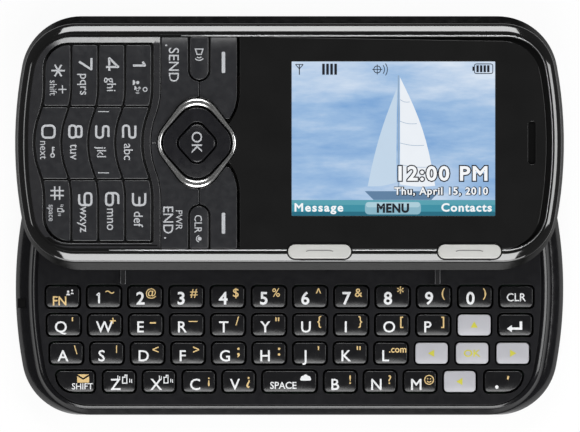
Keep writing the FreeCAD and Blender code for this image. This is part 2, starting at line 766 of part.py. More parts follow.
def make_rear_case():
    body = new_body("base_rear_case")
    back_shell(body)
    cut(body, "rear_case_depth", "rear_case_depth - %s" % SHELF_TOP,
        lambda s: case_outline(s, "case_wall", "case_wall", "corner_radius - case_wall"))
    # deeper floor beside the cover, for the camera and the loudspeaker
    well_start = "(cover_front + cover_lip + well_margin)"
    well_end = "(body_length / 2 - well_end_wall)"
    cut(body, SHELF_TOP, "%s - case_floor" % SHELF_TOP, lambda s: rectangle(
        s, "(%s + %s) / 2" % (well_start, well_end), "0", "%s - %s" % (well_end, well_start),
        "2 * (cover_half_width + well_margin)", ["0.1", "well_clip", "well_clip", "0.1"]))
    # recess and side grooves for the sliding cover, open at the end
    beyond = "(body_length / 2 + 3)"
    cut(body, COVER_TOP, COVER_TOP, lambda s: rectangle(
        s, "(cover_front + cover_gap - %s) / 2" % beyond, "0",
        "cover_front + cover_gap + %s" % beyond, "2 * (cover_half_width + cover_gap)"))
    cut(body, COVER_TOP, "cover_thickness / 2 + 2 * cover_gap", lambda s: rectangle(
        s, "(cover_front + cover_gap - %s) / 2" % beyond, "0",
        "cover_front + cover_gap + %s" % beyond,
        "2 * (cover_half_width + cover_lip + cover_gap)"))
    # battery bay and its rib
    def rib(sketch):
        rectangle(sketch, "bay_place", "0", "bay_length + 2 * bay_rib", "bay_width + 2 * bay_rib")
        rectangle(sketch, "bay_place", "0", "bay_length", "bay_width")
    cut(body, SHELF_TOP, "cover_shelf",
        lambda s: rectangle(s, "bay_place", "0", "bay_length", "bay_width"))
    add(body, SHELF_TOP, "rear_case_depth - %s" % SHELF_TOP, rib)
    # screw bosses that carry the board
    add(body, "case_floor", "%s - case_floor" % BOARD_FOOT,
        octagons(CASE_SCREWS, "%s + boss_wall" % COUNTERBORE))
    cut(body, BOARD_FOOT, BOARD_FOOT, octagons(CASE_SCREWS, "screw_radius + screw_hole_gap"))
    cut(body, SCREW_SEAT, SCREW_SEAT, octagons(CASE_SCREWS, COUNTERBORE))
    # camera opening
    camera = [("camera_place", "camera_row")]
    cut(body, "case_floor", "case_floor", octagons(camera, "camera_barrel_radius + seat_gap"))
    cut(body, "camera_window_depth + seat_gap", "camera_window_depth + seat_gap",
        circles(camera, "camera_window_radius + seat_gap"))
    # loudspeaker grille
    cut(body, "case_floor", "case_floor", lambda s: rectangle(
        s, "speaker_place_x - 2 * grille_pitch", "speaker_place_y",
        "grille_slot_width", "grille_slot_length"))
    row_of(body, 5, "grille_pitch")
    # side key, charging port and headset socket
    cut(body, "rocker_level + rocker_height / 2 + side_key_gap",
        "rocker_height + 2 * side_key_gap", lambda s: rectangle(
            s, "rocker_place", "body_width / 2 - case_wall / 2",
            "rocker_length + 2 * side_key_gap", "2 * case_wall"))
    cut(body, "%s + %s + 0.05" % (PORT_FLOOR, PORT_OUTER_HEIGHT), "%s + 0.05" % PORT_OUTER_HEIGHT,
        lambda s: rectangle(s, "-(body_length / 2 - case_wall / 2)", "port_place",
                            "2.6 * case_wall", "%s + 0.1" % PORT_OUTER_WIDTH))
    cut(body, "body_length / 2 + 2", "case_wall + 4",
        circles([("jack_place", "jack_axis_height")], "jack_barrel_radius + 0.08"), "YZ_Plane")
    return body


def make_battery_cover():
    body = new_body("battery_cover")
    back_shell(body)
    across = "4 * body_length"
    middle = "(cover_front / 2 - body_length / 2)"
    length = "(cover_front + body_length)"

    def outside(half_width):
        def draw(sketch):
            rectangle(sketch, "0", "0", across, across)
            rectangle(sketch, middle, "0", length, "2 * (%s)" % half_width)
        return draw
    cut(body, "rear_case_depth", "rear_case_depth - cover_thickness",
        lambda s: rectangle(s, "0", "0", across, across))
    cut(body, "cover_thickness", "cover_thickness", outside("cover_half_width + cover_lip"))
    cut(body, "cover_thickness / 2", "cover_thickness / 2", outside("cover_half_width"))
    cut(body, "cover_grip_depth", "cover_grip_depth", lambda s: rounded_rectangle(
        s, "cover_grip_place", "0", "cover_grip_radius", "3 * cover_grip_radius",
        "cover_grip_radius / 2 - 0.1"))
    return body


def deck_hole(body, x, y, width, clips=None):
    """A hole through the deck plate for a key cap, a gap larger all round."""
    cut(body, "deck_level", "deck_plate", lambda s: rectangle(
        s, x, y, "%s + 2 * cap_gap" % width, "cap_height + 2 * cap_gap", clips))


def key_pitch(row):
    """The distance from key to key in a row; the last row is parted by the space key."""
    if row == len(ROW_REACHES):
        return "row_4_pitch"
    return "(2 * %s / %d)" % (ROW_REACHES[row], ROW_KEYS - 1)


def cap_width(row):
    return "(%s - cap_space)" % key_pitch(row)


def key_x(row, number):
    """The middle of a key in a full row, counted from 0 at the left."""
    return "(%d * %s - %s)" % (number, key_pitch(row), ROW_REACHES[row])


def key_row_y(row):
    """The middle of a row of keys; row 0 is the one nearest the upper half."""
    return "(first_row_place - %d * key_row_pitch)" % row


def make_deck():
    body = new_body("keyboard_deck")
    skin(body, "rear_case_depth", ("0", "0", "corner_radius"), "deck_level - deck_bevel",
         ("flank_inset_side - deck_bevel", "flank_inset_end - deck_bevel",
          "deck_corner_radius + deck_bevel"))
    skin(body, "deck_level - deck_bevel",
         ("flank_inset_side - deck_bevel", "flank_inset_end - deck_bevel",
          "deck_corner_radius + deck_bevel"), "deck_level",
         ("flank_inset_side", "flank_inset_end", "deck_corner_radius"))
    cut(body, DECK_UNDERSIDE, "%s - rear_case_depth" % DECK_UNDERSIDE, lambda s: case_outline(
        s, "flank_inset_side + case_wall", "flank_inset_end + case_wall",
        "deck_corner_radius - case_wall"))
    # keyboard openings
    for row, reach in enumerate(ROW_REACHES):
        deck_hole(body, "-" + reach, key_row_y(row), cap_width(row))
        row_of(body, ROW_KEYS, key_pitch(row))
    for left in ("-row_4_reach", "space_step"):
        deck_hole(body, left, key_row_y(3), cap_width(3))
        row_of(body, 4, key_pitch(3))
    deck_hole(body, "0", key_row_y(3), "space_width")
    deck_hole(body, "-corner_key_place", key_row_y(3), "corner_key_width", LEFT_CORNER_CLIPS)
    deck_hole(body, "corner_key_place", key_row_y(3), "corner_key_width", RIGHT_CORNER_CLIPS)
    # slots for the rails of the slide
    def slots(sketch):
        for x in RAILS:
            rectangle(sketch, x, RAIL_MIDDLE, "rail_head_width + 2 * rail_slot_gap",
                      "%s + 2 * rail_clearance" % RAIL_LENGTH)
    cut(body, "deck_level", "deck_plate", slots)
    # microphone notch in the end flank
    cut(body, "deck_level", "deck_level - rear_case_depth", lambda s: rectangle(
        s, "-body_length / 2", "microphone_place", "2 * notch_depth", "notch_width"))
    # screw bosses
    add(body, BOARD_TOP, "%s - %s" % (DECK_UNDERSIDE, BOARD_TOP),
        octagons(CASE_SCREWS, "screw_radius + boss_wall"))
    cut(body, DECK_UNDERSIDE, "%s - %s" % (DECK_UNDERSIDE, BOARD_TOP),
        octagons(CASE_SCREWS, "screw_radius + screw_thread_gap"))
    return body


def make_case_screws():
    body = block("case_screws", False, SHELF_TOP, "screw_head_height",
                 octagons(CASE_SCREWS, "screw_head_radius"))
    add(body, SCREW_SEAT, "%s - screw_end_gap - %s" % (DECK_UNDERSIDE, SCREW_SEAT),
        octagons(CASE_SCREWS, "screw_radius"))


def make_fixed_slide_plate():
    thickness = "fixed_plate_thickness"
    foot = "(%s - seat_gap - %s)" % (DECK_UNDERSIDE, thickness)
    body = block("fixed_slide_plate", False, foot, thickness, lambda s: rectangle(
        s, "(rail_left + rail_right) / 2", RAIL_MIDDLE,
        "rail_right - rail_left + 2 * rail_margin", RAIL_LENGTH))

    def rails(width):
        def draw(sketch):
            for x in RAILS:
                rectangle(sketch, x, RAIL_MIDDLE, width, RAIL_LENGTH)
        return draw
    head_foot = "(%s + rail_clearance)" % PLATE_TOP
    add(body, "%s + %s" % (foot, thickness), "%s - %s - %s" % (head_foot, foot, thickness),
        rails("rail_web"))
    add(body, head_foot, "rail_head_height", rails("rail_head_width"))
    return body


def make_base_inside():
    """Battery, board and the modules that the base carries."""
    block("battery_pack", False, BATTERY_FOOT, "battery_thickness", lambda s: rectangle(
        s, "bay_place", "0", "bay_length - 2 * battery_gap", "bay_width - 2 * battery_gap",
        ["battery_clip"] * 4))
    board = block("main_board", False, BOARD_FOOT, "board_thickness", lambda s: rectangle(
        s, "0", "0", "body_length - 2 * (flank_inset_end + case_wall + board_end_margin)",
        "body_width - 2 * (flank_inset_side + case_wall + board_margin)", ["board_clip"] * 4))
    cut(board, BOARD_TOP, "board_thickness", octagons(CASE_SCREWS, "screw_radius + screw_hole_gap"))

    def cans(sketch):
        for x in ("-shield_length / 2 - 2", "shield_length / 2 + 2"):
            rectangle(sketch, x, RAIL_MIDDLE, "shield_length", "shield_width")
    block("shield_cans", False, BOARD_TOP, "shield_height", cans)

    def blades(sketch):
        for step in (-1, 0, 1):
            rectangle(sketch, "bay_place + bay_length / 2 + bay_rib + contact_width",
                      "%d * contact_pitch" % step, "contact_width", "contact_width")
    block("battery_contacts", False, SHELF_TOP, "%s - seat_gap - %s" % (BOARD_FOOT, SHELF_TOP),
          blades)
    block("keyboard_dome_sheet", False, BOARD_TOP, "dome_sheet", lambda s: rectangle(
        s, "0", "%s + key_row_pitch / 2" % key_row_y(2), "2 * (case_screw_x + 3.5)",
        "3 * key_row_pitch + cap_height", ["6", "6", "1", "1"]))
    block("loudspeaker", False, "case_floor + seat_gap", "speaker_height",
          lambda s: rectangle(s, "speaker_place_x", "speaker_place_y", "speaker_length",
                              "speaker_width", ["speaker_clip"] * 4))
    motor = new_body("vibration_motor")
    add(motor, "motor_place_x - motor_length / 2", "motor_length", circles(
        [("motor_place_y", "case_floor + seat_gap + motor_radius")], "motor_radius"), "YZ_Plane")
    camera = [("camera_place", "camera_row")]
    block("camera_window", False, "seat_gap", "camera_window_depth - seat_gap",
          circles(camera, "camera_window_radius"))
    module = block("camera_module", False, "camera_window_depth + 2 * seat_gap", "case_floor",
                   octagons(camera, "camera_barrel_radius"))
    add(module, "case_floor + seat_gap", "%s - case_floor - 2 * seat_gap" % BOARD_FOOT,
        lambda s: rectangle(s, "camera_place", "camera_row", "camera_side", "camera_side"))
    jack = new_body("headset_jack")
    mouth = "(body_length / 2 - case_wall)"
    axis = [("jack_place", "jack_axis_height")]
    add(jack, "%s - jack_length" % mouth, "jack_length",
        circles(axis, "jack_barrel_radius"), "YZ_Plane")
    cut(jack, mouth, "jack_depth", circles(axis, "jack_bore_radius"), "YZ_Plane")
    port_middle = "(%s + %s / 2)" % (PORT_FLOOR, PORT_OUTER_HEIGHT)
    port_mouth = "(-body_length / 2 + 1.4)"
    port = new_body("charging_port")
    add(port, port_mouth, "port_length", lambda s: rectangle(
        s, "port_place", port_middle, PORT_OUTER_WIDTH, PORT_OUTER_HEIGHT), "YZ_Plane")
    cut(port, "%s + port_length - port_shell" % port_mouth, "port_length - port_shell",
        lambda s: rectangle(s, "port_place", port_middle, "port_width", "port_height"),
        "YZ_Plane")
    add(port, "%s + port_length / 3" % port_mouth, "port_length * 2 / 3 - port_shell / 2",
        lambda s: rectangle(s, "port_place", port_middle, "port_width / 2", "port_height / 4"),
        "YZ_Plane")
    block("microphone", False, "%s - seat_gap - microphone_height" % BOARD_FOOT,
          "microphone_height", octagons([("microphone_inset - body_length / 2",
                                          "microphone_place")], "microphone_radius"))
    block("antenna", False, "%s + seat_gap" % SHELF_TOP, "antenna_thickness",
          lambda s: rectangle(s, "antenna_place_x", "antenna_place_y", "antenna_width",
                              "antenna_length"))


# -------------------------------------------------------------- keyboard keys

CAP_TOP = "(deck_level + cap_proud)"
CAP_DEPTH = "(%s - %s)" % (CAP_TOP, KEY_FOOT)


def cap(body, x, y, width, clips=CAP_CLIPS):
    """A key cap whose sides lean in towards the top."""
    sketch = new_sketch(body, KEY_FOOT)
    rectangle(sketch, x, y, width, "cap_height", clips)
    pad(body, sketch, CAP_DEPTH, "-cap_draft")


def make_keyboard():
    numbers = new_body("number_row")
    cap(numbers, key_x(0, 0), key_row_y(0), cap_width(0))
    row_of(numbers, ROW_KEYS, key_pitch(0))

    letters = new_body("top_letter_row")
    cap(letters, key_x(1, 0), key_row_y(1), cap_width(1))
    row_of(letters, 10, key_pitch(1))
    cap(letters, key_x(1, 11), key_row_y(1), cap_width(1))

    letters = new_body("middle_letter_row")
    cap(letters, key_x(2, 0), key_row_y(2), cap_width(2))
    row_of(letters, 9, key_pitch(2))

    letters = new_body("bottom_letter_row")
    cap(letters, "-row_4_reach", key_row_y(3), cap_width(3))
    row_of(letters, 4, key_pitch(3))
    cap(letters, "space_step", key_row_y(3), cap_width(3))
    row_of(letters, 3, key_pitch(3))
    cap(letters, "0", key_row_y(3), "space_width")
    cap(letters, "-corner_key_place", key_row_y(3), "corner_key_width", LEFT_CORNER_CLIPS)
    cap(letters, "corner_key_place", key_row_y(3), "corner_key_width", RIGHT_CORNER_CLIPS)

    arrows = new_body("cursor_keys")
    cap(arrows, key_x(2, 9), key_row_y(2), cap_width(2))
    row_of(arrows, 3, key_pitch(2))
    cap(arrows, key_x(1, 10), key_row_y(1), cap_width(1))
    cap(arrows, "row_4_reach", key_row_y(3), cap_width(3))


def make_volume_rocker():
    outer = "(body_width / 2 + rocker_proud)"
    body = block("volume_rocker", False, "rocker_level - rocker_height / 2", "rocker_height",
                 lambda s: rectangle(s, "rocker_place", "%s - rocker_depth / 2" % outer,
                                     "rocker_length", "rocker_depth"))
    reach = value(outer)

    def outer_upright(edge):
        box = edge.BoundBox
        return box.ZLength > 1 and abs(box.YMax - reach) < 1e-5
    dress(body, "Fillet", outer_upright, "rocker_proud")


# ------------------------------------------------------- the upper half: shell

PLATE_SCREWS = [("%d * plate_screw_x" % a, "%d * plate_screw_y" % b)
                for a in (-1, 1) for b in (-1, 1)]
FRAME_FOOT = "(%s - seat_gap - panel_thickness - frame_floor)" % WINDOW_FOOT
PANEL_LENGTH = "(screen_length + 2 * panel_border)"
PANEL_WIDTH = "(screen_width + 2 * panel_border)"
WIDE_KEYS = ("wide_key_left", "wide_key_right")
NUMBER_WAVE = ("wave_half", "wave_depth")
WINDOW_WAVE = ("window_wave_half", "window_wave_depth")


def make_upper_rear():
    body = new_body("slider_rear_case", slides=True)
    sketch = new_sketch(body, SLIDER_FOOT)
    case_outline(sketch, "0", "0", "corner_radius")
    pad(body, sketch, "upper_rear_height - parting_lip")
    dress(body, "Chamfer", flat_at(SLIDER_FOOT), "upper_bottom_bevel")
    skin(body, "%s - parting_lip" % PARTING, ("0", "0", "corner_radius"), PARTING,
         ("shoulder_inset_side - parting_ledge", "shoulder_inset_end - parting_ledge",
          "corner_radius - shoulder_inset_side"))
    cut(body, PARTING, "%s - %s" % (PARTING, UPPER_FLOOR_TOP), lambda s: case_outline(
        s, "shoulder_inset_side + upper_wall", "shoulder_inset_end + upper_wall",
        "corner_radius - shoulder_inset_side - upper_wall"))
    # recess for the moving plate, and the channels of the rail heads
    cut(body, PLATE_TOP, "moving_plate_thickness", lambda s: rectangle(
        s, "(rail_left + rail_right) / 2", "0",
        "rail_right - rail_left + 2 * plate_margin + 2 * seat_gap",
        "2 * (plate_half_width + seat_gap)"))
    channel(body, PLATE_TOP, "moving_plate_thickness", "rail_web + 2 * rail_clearance")
    channel(body, "%s + rail_head_height + 2.5 * rail_clearance" % PLATE_TOP,
            "rail_head_height + 2.5 * rail_clearance", "rail_head_width + 2 * rail_clearance")
    # bosses: plate screws, display frame and keypad board
    add(body, UPPER_FLOOR_TOP, "plate_boss_height",
        octagons(PLATE_SCREWS, "screw_radius + boss_wall"))
    cut(body, "%s + plate_boss_height" % UPPER_FLOOR_TOP,
        "%s + plate_boss_height - %s" % (UPPER_FLOOR_TOP, PLATE_TOP),
        octagons(PLATE_SCREWS, "screw_radius + screw_thread_gap"))
    add(body, UPPER_FLOOR_TOP, "%s - %s" % (FRAME_FOOT, UPPER_FLOOR_TOP), posts([
        ("screen_place_x + %d * (screen_length / 2 - 2 * post_half_width)" % a,
         "screen_place_y + %d * (screen_width / 2 - 2 * post_half_width)" % b)
        for a in (-1, 1) for b in (-1, 1)]))
    board_posts = [(x, "%d * 2 * number_inner" % side) for side in (-1, 1)
                   for x in ("number_edge_x - 3.5 * number_pitch", "nav_left + 2 * post_half_width")]
    board_posts.append(("wide_key_right + wide_key_length / 3", "wide_key_place + post_half_width"))
    add(body, UPPER_FLOOR_TOP, "%s - %s" % (UPPER_BOARD_FOOT, UPPER_FLOOR_TOP), posts(board_posts))


def posts(places):
    """A drawing of square posts."""
    def draw(sketch):
        for x, y in places:
            rectangle(sketch, x, y, "2 * post_half_width", "2 * post_half_width")
    return draw


def channel(body, top, depth, width):
    """Two straight grooves for the rails, open at the lower side of the phone."""
    low = "(-body_width / 2 - 1)"
    high = "(rail_high + 2 * rail_clearance)"

    def grooves(sketch):
        for x in RAILS:
            rectangle(sketch, x, "(%s + %s) / 2" % (low, high), width, "%s - %s" % (high, low))
    cut(body, top, depth, grooves)


def make_moving_plate():
    body = block("moving_slide_plate", True, SLIDER_FOOT, "moving_plate_thickness",
                 lambda s: rectangle(s, "(rail_left + rail_right) / 2", "0",
                                     "rail_right - rail_left + 2 * plate_margin",
                                     "2 * plate_half_width"))
    channel(body, PLATE_TOP, "moving_plate_thickness", "rail_web + 2 * rail_clearance")
    head_top = "(%s + flat_head_height)" % SLIDER_FOOT
    cut(body, PLATE_TOP, "moving_plate_thickness",
        octagons(PLATE_SCREWS, "screw_radius + screw_hole_gap"))
    cut(body, head_top, "flat_head_height", octagons(PLATE_SCREWS, COUNTERBORE))
    screws = block("slider_screws", True, "%s + seat_gap" % SLIDER_FOOT,
                   "flat_head_height - seat_gap", octagons(PLATE_SCREWS, "screw_head_radius"))
    add(screws, head_top, "%s + plate_boss_height - screw_end_gap - %s" % (
        UPPER_FLOOR_TOP, head_top), octagons(PLATE_SCREWS, "screw_radius"))


def ring_area(gap):
    """A drawing of the navigation ring's outline, grown by a gap."""
    def draw(sketch):
        rounded_diamond(sketch, "nav_place", "0", "ring_half_x + %s" % gap,
                        "ring_half_y + %s" % gap, "ring_corner + %s" % gap)
    return draw


def make_upper_front():
    body = new_body("slider_front_case", slides=True)
    sketch = new_sketch(body, PARTING)
    case_outline(sketch, "shoulder_inset_side", "shoulder_inset_end",
                 "corner_radius - shoulder_inset_side")
    pad(body, sketch, "upper_front_height")
    # three bevels stand for the round shoulder, which keeps its facets few
    first = "(2 - sqrt(2)) * shoulder_round"
    foot = "(%s - %s)" % (FACE, first)
    dress(body, "Chamfer", flat_at(FACE), first)
    dress(body, "Chamfer", lambda e: flat_at(FACE)(e) or flat_at(foot)(e), "0.21 * shoulder_round")
    cut(body, FACE_UNDERSIDE, "%s - %s" % (FACE_UNDERSIDE, PARTING), lambda s: case_outline(
        s, "shoulder_inset_side + upper_wall", "shoulder_inset_end + upper_wall",
        "corner_radius - shoulder_inset_side - upper_wall"))
    # window seat, display opening and sound slot
    cut(body, FACE, "window_thickness + seat_gap", lambda s: window_outline(s, "seat_gap"))
    cut(body, WINDOW_FOOT, "face_wall", lambda s: rectangle(
        s, "screen_place_x", "screen_place_y",
        PANEL_LENGTH + " + 2 * (frame_wall + 3 * seat_gap)",
        PANEL_WIDTH + " + 2 * (frame_wall + 3 * seat_gap)"))
    cut(body, WINDOW_FOOT, "face_wall", lambda s: rectangle(
        s, "earpiece_place", "0", "earpiece_slot_width / 2",
        "earpiece_slot_length - earpiece_slot_width"))
    # openings for the number keys, the navigation keys and the rim keys
    cut(body, FACE, "face_wall + 1", lambda s: strip(
        s, ("number_edge_x - 4 * number_pitch - number_gap_x / 2",) + NUMBER_WAVE,
        ("number_edge_x + number_gap_x / 2",) + NUMBER_WAVE,
        "-number_outer - number_gap_y", "number_outer + number_gap_y",
        "number_corner_round + number_gap_y", "number_corner_round + number_gap_y"))
    cut(body, FACE, "face_wall + 1", lambda s: strip(
        s, ("nav_left - key_gap",) + NUMBER_WAVE, ("nav_right + key_gap",) + WINDOW_WAVE,
        "-nav_outer - key_gap", "nav_outer + key_gap"))
    cut(body, FACE, "face_wall + 1", ring_area("key_gap"))
    cut(body, FACE, "face_wall + 1", rim_keys("key_gap"))


def rim_keys(gap, places=WIDE_KEYS):
    """A drawing of the rim keys' outlines, grown by a gap."""
    width = "(wide_key_width + 2 * (%s))" % gap
    clip = "(1 - sqrt(2) / 2) * %s" % width

    def draw(sketch):
        for x in places:
            rectangle(sketch, x, "wide_key_place", "wide_key_length + 2 * (%s)" % gap, width,
                      [clip] * 4)
    return draw


def make_trim():
    """The bright line round the face, just inside the shoulder."""
    def band(sketch):
        for inset in ("trim_margin", "trim_margin + trim_width"):
            case_outline(sketch, "%s + %s" % (FACE_INSET_SIDE, inset),
                         "%s + %s" % (FACE_INSET_END, inset), "%s - (%s)" % (FACE_CORNER, inset))
    body = block("window_trim", True, FACE, "trim_height", band)
    cut(body, "%s + trim_height" % FACE, "trim_height", rim_keys("2 * key_gap"))


def make_display():
    body = block("display_window", True, WINDOW_FOOT, "window_thickness",
                 lambda s: window_outline(s, "0"))
    cut(body, FACE, "window_thickness", ring_area("3 * key_gap"))
    cut(body, FACE, "window_thickness", sound_slot("0"))
    cut(body, FACE, "window_thickness", rim_keys("2 * key_gap"))
    block("display_panel", True, "%s + frame_floor" % FRAME_FOOT, "panel_thickness",
          lambda s: rectangle(s, "screen_place_x", "screen_place_y", PANEL_LENGTH, PANEL_WIDTH))
    outer_length = "(%s + 2 * (frame_wall + seat_gap))" % PANEL_LENGTH
    outer_width = "(%s + 2 * (frame_wall + seat_gap))" % PANEL_WIDTH
    frame = block("display_frame", True, FRAME_FOOT, "panel_thickness + frame_floor",
                  lambda s: rectangle(s, "screen_place_x", "screen_place_y",
                                      outer_length, outer_width))
    cut(frame, "%s + frame_floor + panel_thickness" % FRAME_FOOT, "panel_thickness",
        lambda s: rectangle(s, "screen_place_x", "screen_place_y",
                            PANEL_LENGTH + " + 2 * seat_gap", PANEL_WIDTH + " + 2 * seat_gap"))
    block("earpiece_mesh", True, "%s + seat_gap" % WINDOW_FOOT, "earpiece_mesh_thickness",
          sound_slot("seat_gap"))
    block("earpiece_speaker", True,
          "%s - seat_gap - earpiece_speaker_height" % FACE_UNDERSIDE, "earpiece_speaker_height",
          lambda s: rectangle(s, "earpiece_place", "0", "earpiece_speaker_width",
                              "earpiece_slot_length + earpiece_slot_width",
                              ["earpiece_speaker_width / 4"] * 4))


def sound_slot(inset):
    """A drawing of the earpiece's slot, drawn in by an inset."""
    width = "(earpiece_slot_width - 2 * (%s))" % inset
    clip = "(1 - sqrt(2) / 2) * %s" % width
    return lambda sketch: rectangle(sketch, "earpiece_place", "0", width,
                                    "earpiece_slot_length - 2 * (%s)" % inset, [clip] * 4)


def make_upper_inside():
    """The board under the front keys, and the flexible strip that leaves it."""
    end = "(upper_board_margin * 4 + shoulder_inset_end + upper_wall - body_length / 2)"
    right = "(nav_right - 3 * upper_board_margin)"
    low = "(upper_board_margin + shoulder_inset_side + upper_wall - body_width / 2)"
    far = "(wide_key_right + wide_key_length / 2 + upper_board_margin)"
    step = "(wide_key_place + wide_key_width / 2 + upper_board_margin)"
    clipped_end = "(%s + upper_board_clip)" % end
    clipped_low = "(%s + upper_board_clip)" % low
    block("keypad_board", True, UPPER_BOARD_FOOT, "upper_board", lambda s: polygon(s, [
        (clipped_end, low), (far, low), (far, step), (right, step), (right, "-%s" % low),
        (clipped_end, "-%s" % low), (end, "-%s" % clipped_low), (end, clipped_low)]))
    block("link_flex", True, "%s + seat_gap" % UPPER_FLOOR_TOP, "flex_thickness",
          lambda s: rectangle(s, "nav_right", "2", "flex_width", "2 * flex_width"))


# --------------------------------------------------- the upper half: its keys

def make_number_keys():
    names = (("key_3", "key_2", "key_1"), ("key_6", "key_5", "key_4"),
             ("key_9", "key_8", "key_7"), ("key_hash", "key_0", "key_star"))
    rows = ("-number_outer", "-number_inner", "number_inner", "number_outer")
    for column, labels in enumerate(names):
        left = "number_edge_x - %d * number_pitch + number_gap_x / 2" % (column + 1)
        right = "number_edge_x - %d * number_pitch - number_gap_x / 2" % column
        for row, label in enumerate(labels):
            low, high = "%s + number_gap_y / 2" % rows[row], "%s - number_gap_y / 2" % rows[row + 1]
            rounds = [0, 0]
            if column == 3 and row != 1:
                rounds[row // 2] = "number_corner_round"
            block(label, True, FRONT_KEY_FOOT, "%s - %s" % (FACE, FRONT_KEY_FOOT),
                  lambda s: strip(s, (left,) + NUMBER_WAVE, (right,) + NUMBER_WAVE,
                                  low, high, *rounds))


def slot_key_area(side, gap):
    """The round-ended slot of the key that stands beside the navigation ring."""
    width = "(slot_key_width + 2 * (%s))" % gap
    far = "(nav_outer + 2 * key_gap)"

    def draw(sketch):
        half = value(width) / 2
        x = value("nav_parting")
        start = side * value("slot_key_end - (%s) + slot_key_width / 2 + (%s)" % (gap, gap))
        outer = side * value(far)
        pieces = [((x + half, outer), (x - half, outer)), ((x - half, outer), (x - half, start)),
                  ((x - half, start), (x, start - side * half), (x + half, start)),
                  ((x + half, start), (x + half, outer))]
        numbers = chain(sketch, pieces)
        constrain(sketch, [(("Block", number), None) for number in numbers])
    return draw


def make_navigation():
    height = "(%s - %s)" % (FACE, FRONT_KEY_FOOT)
    left = ("nav_left",) + NUMBER_WAVE
    right = ("nav_right",) + WINDOW_WAVE
    sides = {"send_key": (1, "left"), "end_key": (-1, "left"),
             "soft_key_left": (1, "right"), "soft_key_right": (-1, "right")}
    for label, (side, hand) in sides.items():
        low, high = ("key_gap / 2", "nav_outer") if side > 0 else ("-nav_outer", "-key_gap / 2")
        body = block(label, True, FRONT_KEY_FOOT, height,
                     lambda s: strip(s, left, right, low, high))
        other = 1 if hand == "left" else -1
        cut(body, "%s + 1" % FACE, "%s + 2" % height, lambda s: rectangle(
            s, "nav_parting + %d * (20 - key_gap / 2)" % other, "0", "40", "4 * nav_outer"))
        cut(body, "%s + 1" % FACE, "%s + 2" % height, ring_area("key_gap"))
        cut(body, "%s + 1" % FACE, "%s + 2" % height, slot_key_area(side, "key_gap"))
    for label, side in (("speaker_key", 1), ("clear_key", -1)):
        body = block(label, True, FRONT_KEY_FOOT, height, slot_key_area(side, "0"))
        cut(body, "%s + 1" % FACE, "%s + 2" % height, lambda s: rectangle(
            s, "nav_parting", "%d * (nav_outer + 5)" % side, "20", "10"))

    ring = block("nav_trim_ring", True, UPPER_BOARD_TOP,
                 "%s + ring_proud - %s" % (FACE, UPPER_BOARD_TOP), ring_area("0"))
    dress(ring, "Chamfer", flat_at("%s + ring_proud" % FACE), "ring_bevel")
    cut(ring, "%s + ring_proud + 1" % FACE, "face_wall + 4", lambda s: rounded_diamond(
        s, "nav_place", "0", "pad_half_x + key_gap", "pad_half_y + key_gap",
        "pad_corner + key_gap"))

    plate_foot = "(%s + key_under_gap + 0.05)" % UPPER_BOARD_TOP
    pad_foot = "(%s + nav_plate_thickness + key_under_gap)" % plate_foot
    centre = [("nav_place", "0")]
    plate = block("nav_rocker", True, plate_foot, "nav_plate_thickness",
                  octagons(centre, "nav_plate_radius"))
    cut(plate, pad_foot, "%s - %s" % (pad_foot, plate_foot),
        octagons(centre, "ok_half_y + key_gap"))
    nav = block("nav_pad", True, pad_foot, "%s + pad_proud - %s" % (FACE, pad_foot),
                lambda s: rounded_diamond(s, "nav_place", "0", "pad_half_x", "pad_half_y",
                                          "pad_corner"))
    cut(nav, "%s + pad_proud" % FACE, "%s + pad_proud - %s" % (FACE, pad_foot),
        lambda s: rounded_diamond(s, "nav_place", "0", "ok_half_x + key_gap",
                                  "ok_half_y + key_gap", "ok_corner + key_gap"))
    block("ok_key", True, FRONT_KEY_FOOT, "%s + pad_proud - %s" % (FACE, FRONT_KEY_FOOT),
          lambda s: rounded_diamond(s, "nav_place", "0", "ok_half_x", "ok_half_y", "ok_corner"))


def make_rim_keys():
    for label, x in zip(("wide_soft_key_left", "wide_soft_key_right"), WIDE_KEYS):
        top = "(%s + wide_key_proud)" % FACE
        body = block(label, True, FRONT_KEY_FOOT, "%s - %s" % (top, FRONT_KEY_FOOT),
                     rim_keys("0", [x]))
        dress(body, "Chamfer", flat_at(top), "ring_bevel")


# -------------------------------------------------------------- build and save

def main():
    make_rear_case()
    make_battery_cover()
    make_deck()
    make_case_screws()
    make_fixed_slide_plate()
    make_base_inside()
    make_keyboard()
    make_volume_rocker()
    make_upper_rear()
    make_moving_plate()
    make_upper_front()
    make_trim()
    make_display()
    make_upper_inside()
    make_number_keys()
    make_navigation()
    make_rim_keys()
    doc.recompute()
    for item in doc.Objects:
        if "Invalid" in item.State or "Error" in item.State:
            raise ValueError("%s did not build: %s" % (item.Label, item.State))
    os.makedirs("parts", exist_ok=True)
    for label, body in PARTS.items():
        if body.Shape.isNull() or not body.Shape.isValid():
            raise ValueError("%s has no sound shape" % label)
    for label, body in PARTS.items():
        body.Shape.exportStep("parts/%s.step" % label)
    print("%d pieces" % len(PARTS))


main()
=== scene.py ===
import math

import bmesh
import bpy
import numpy as np
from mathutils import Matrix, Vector
from mathutils.geometry import delaunay_2d_cdt


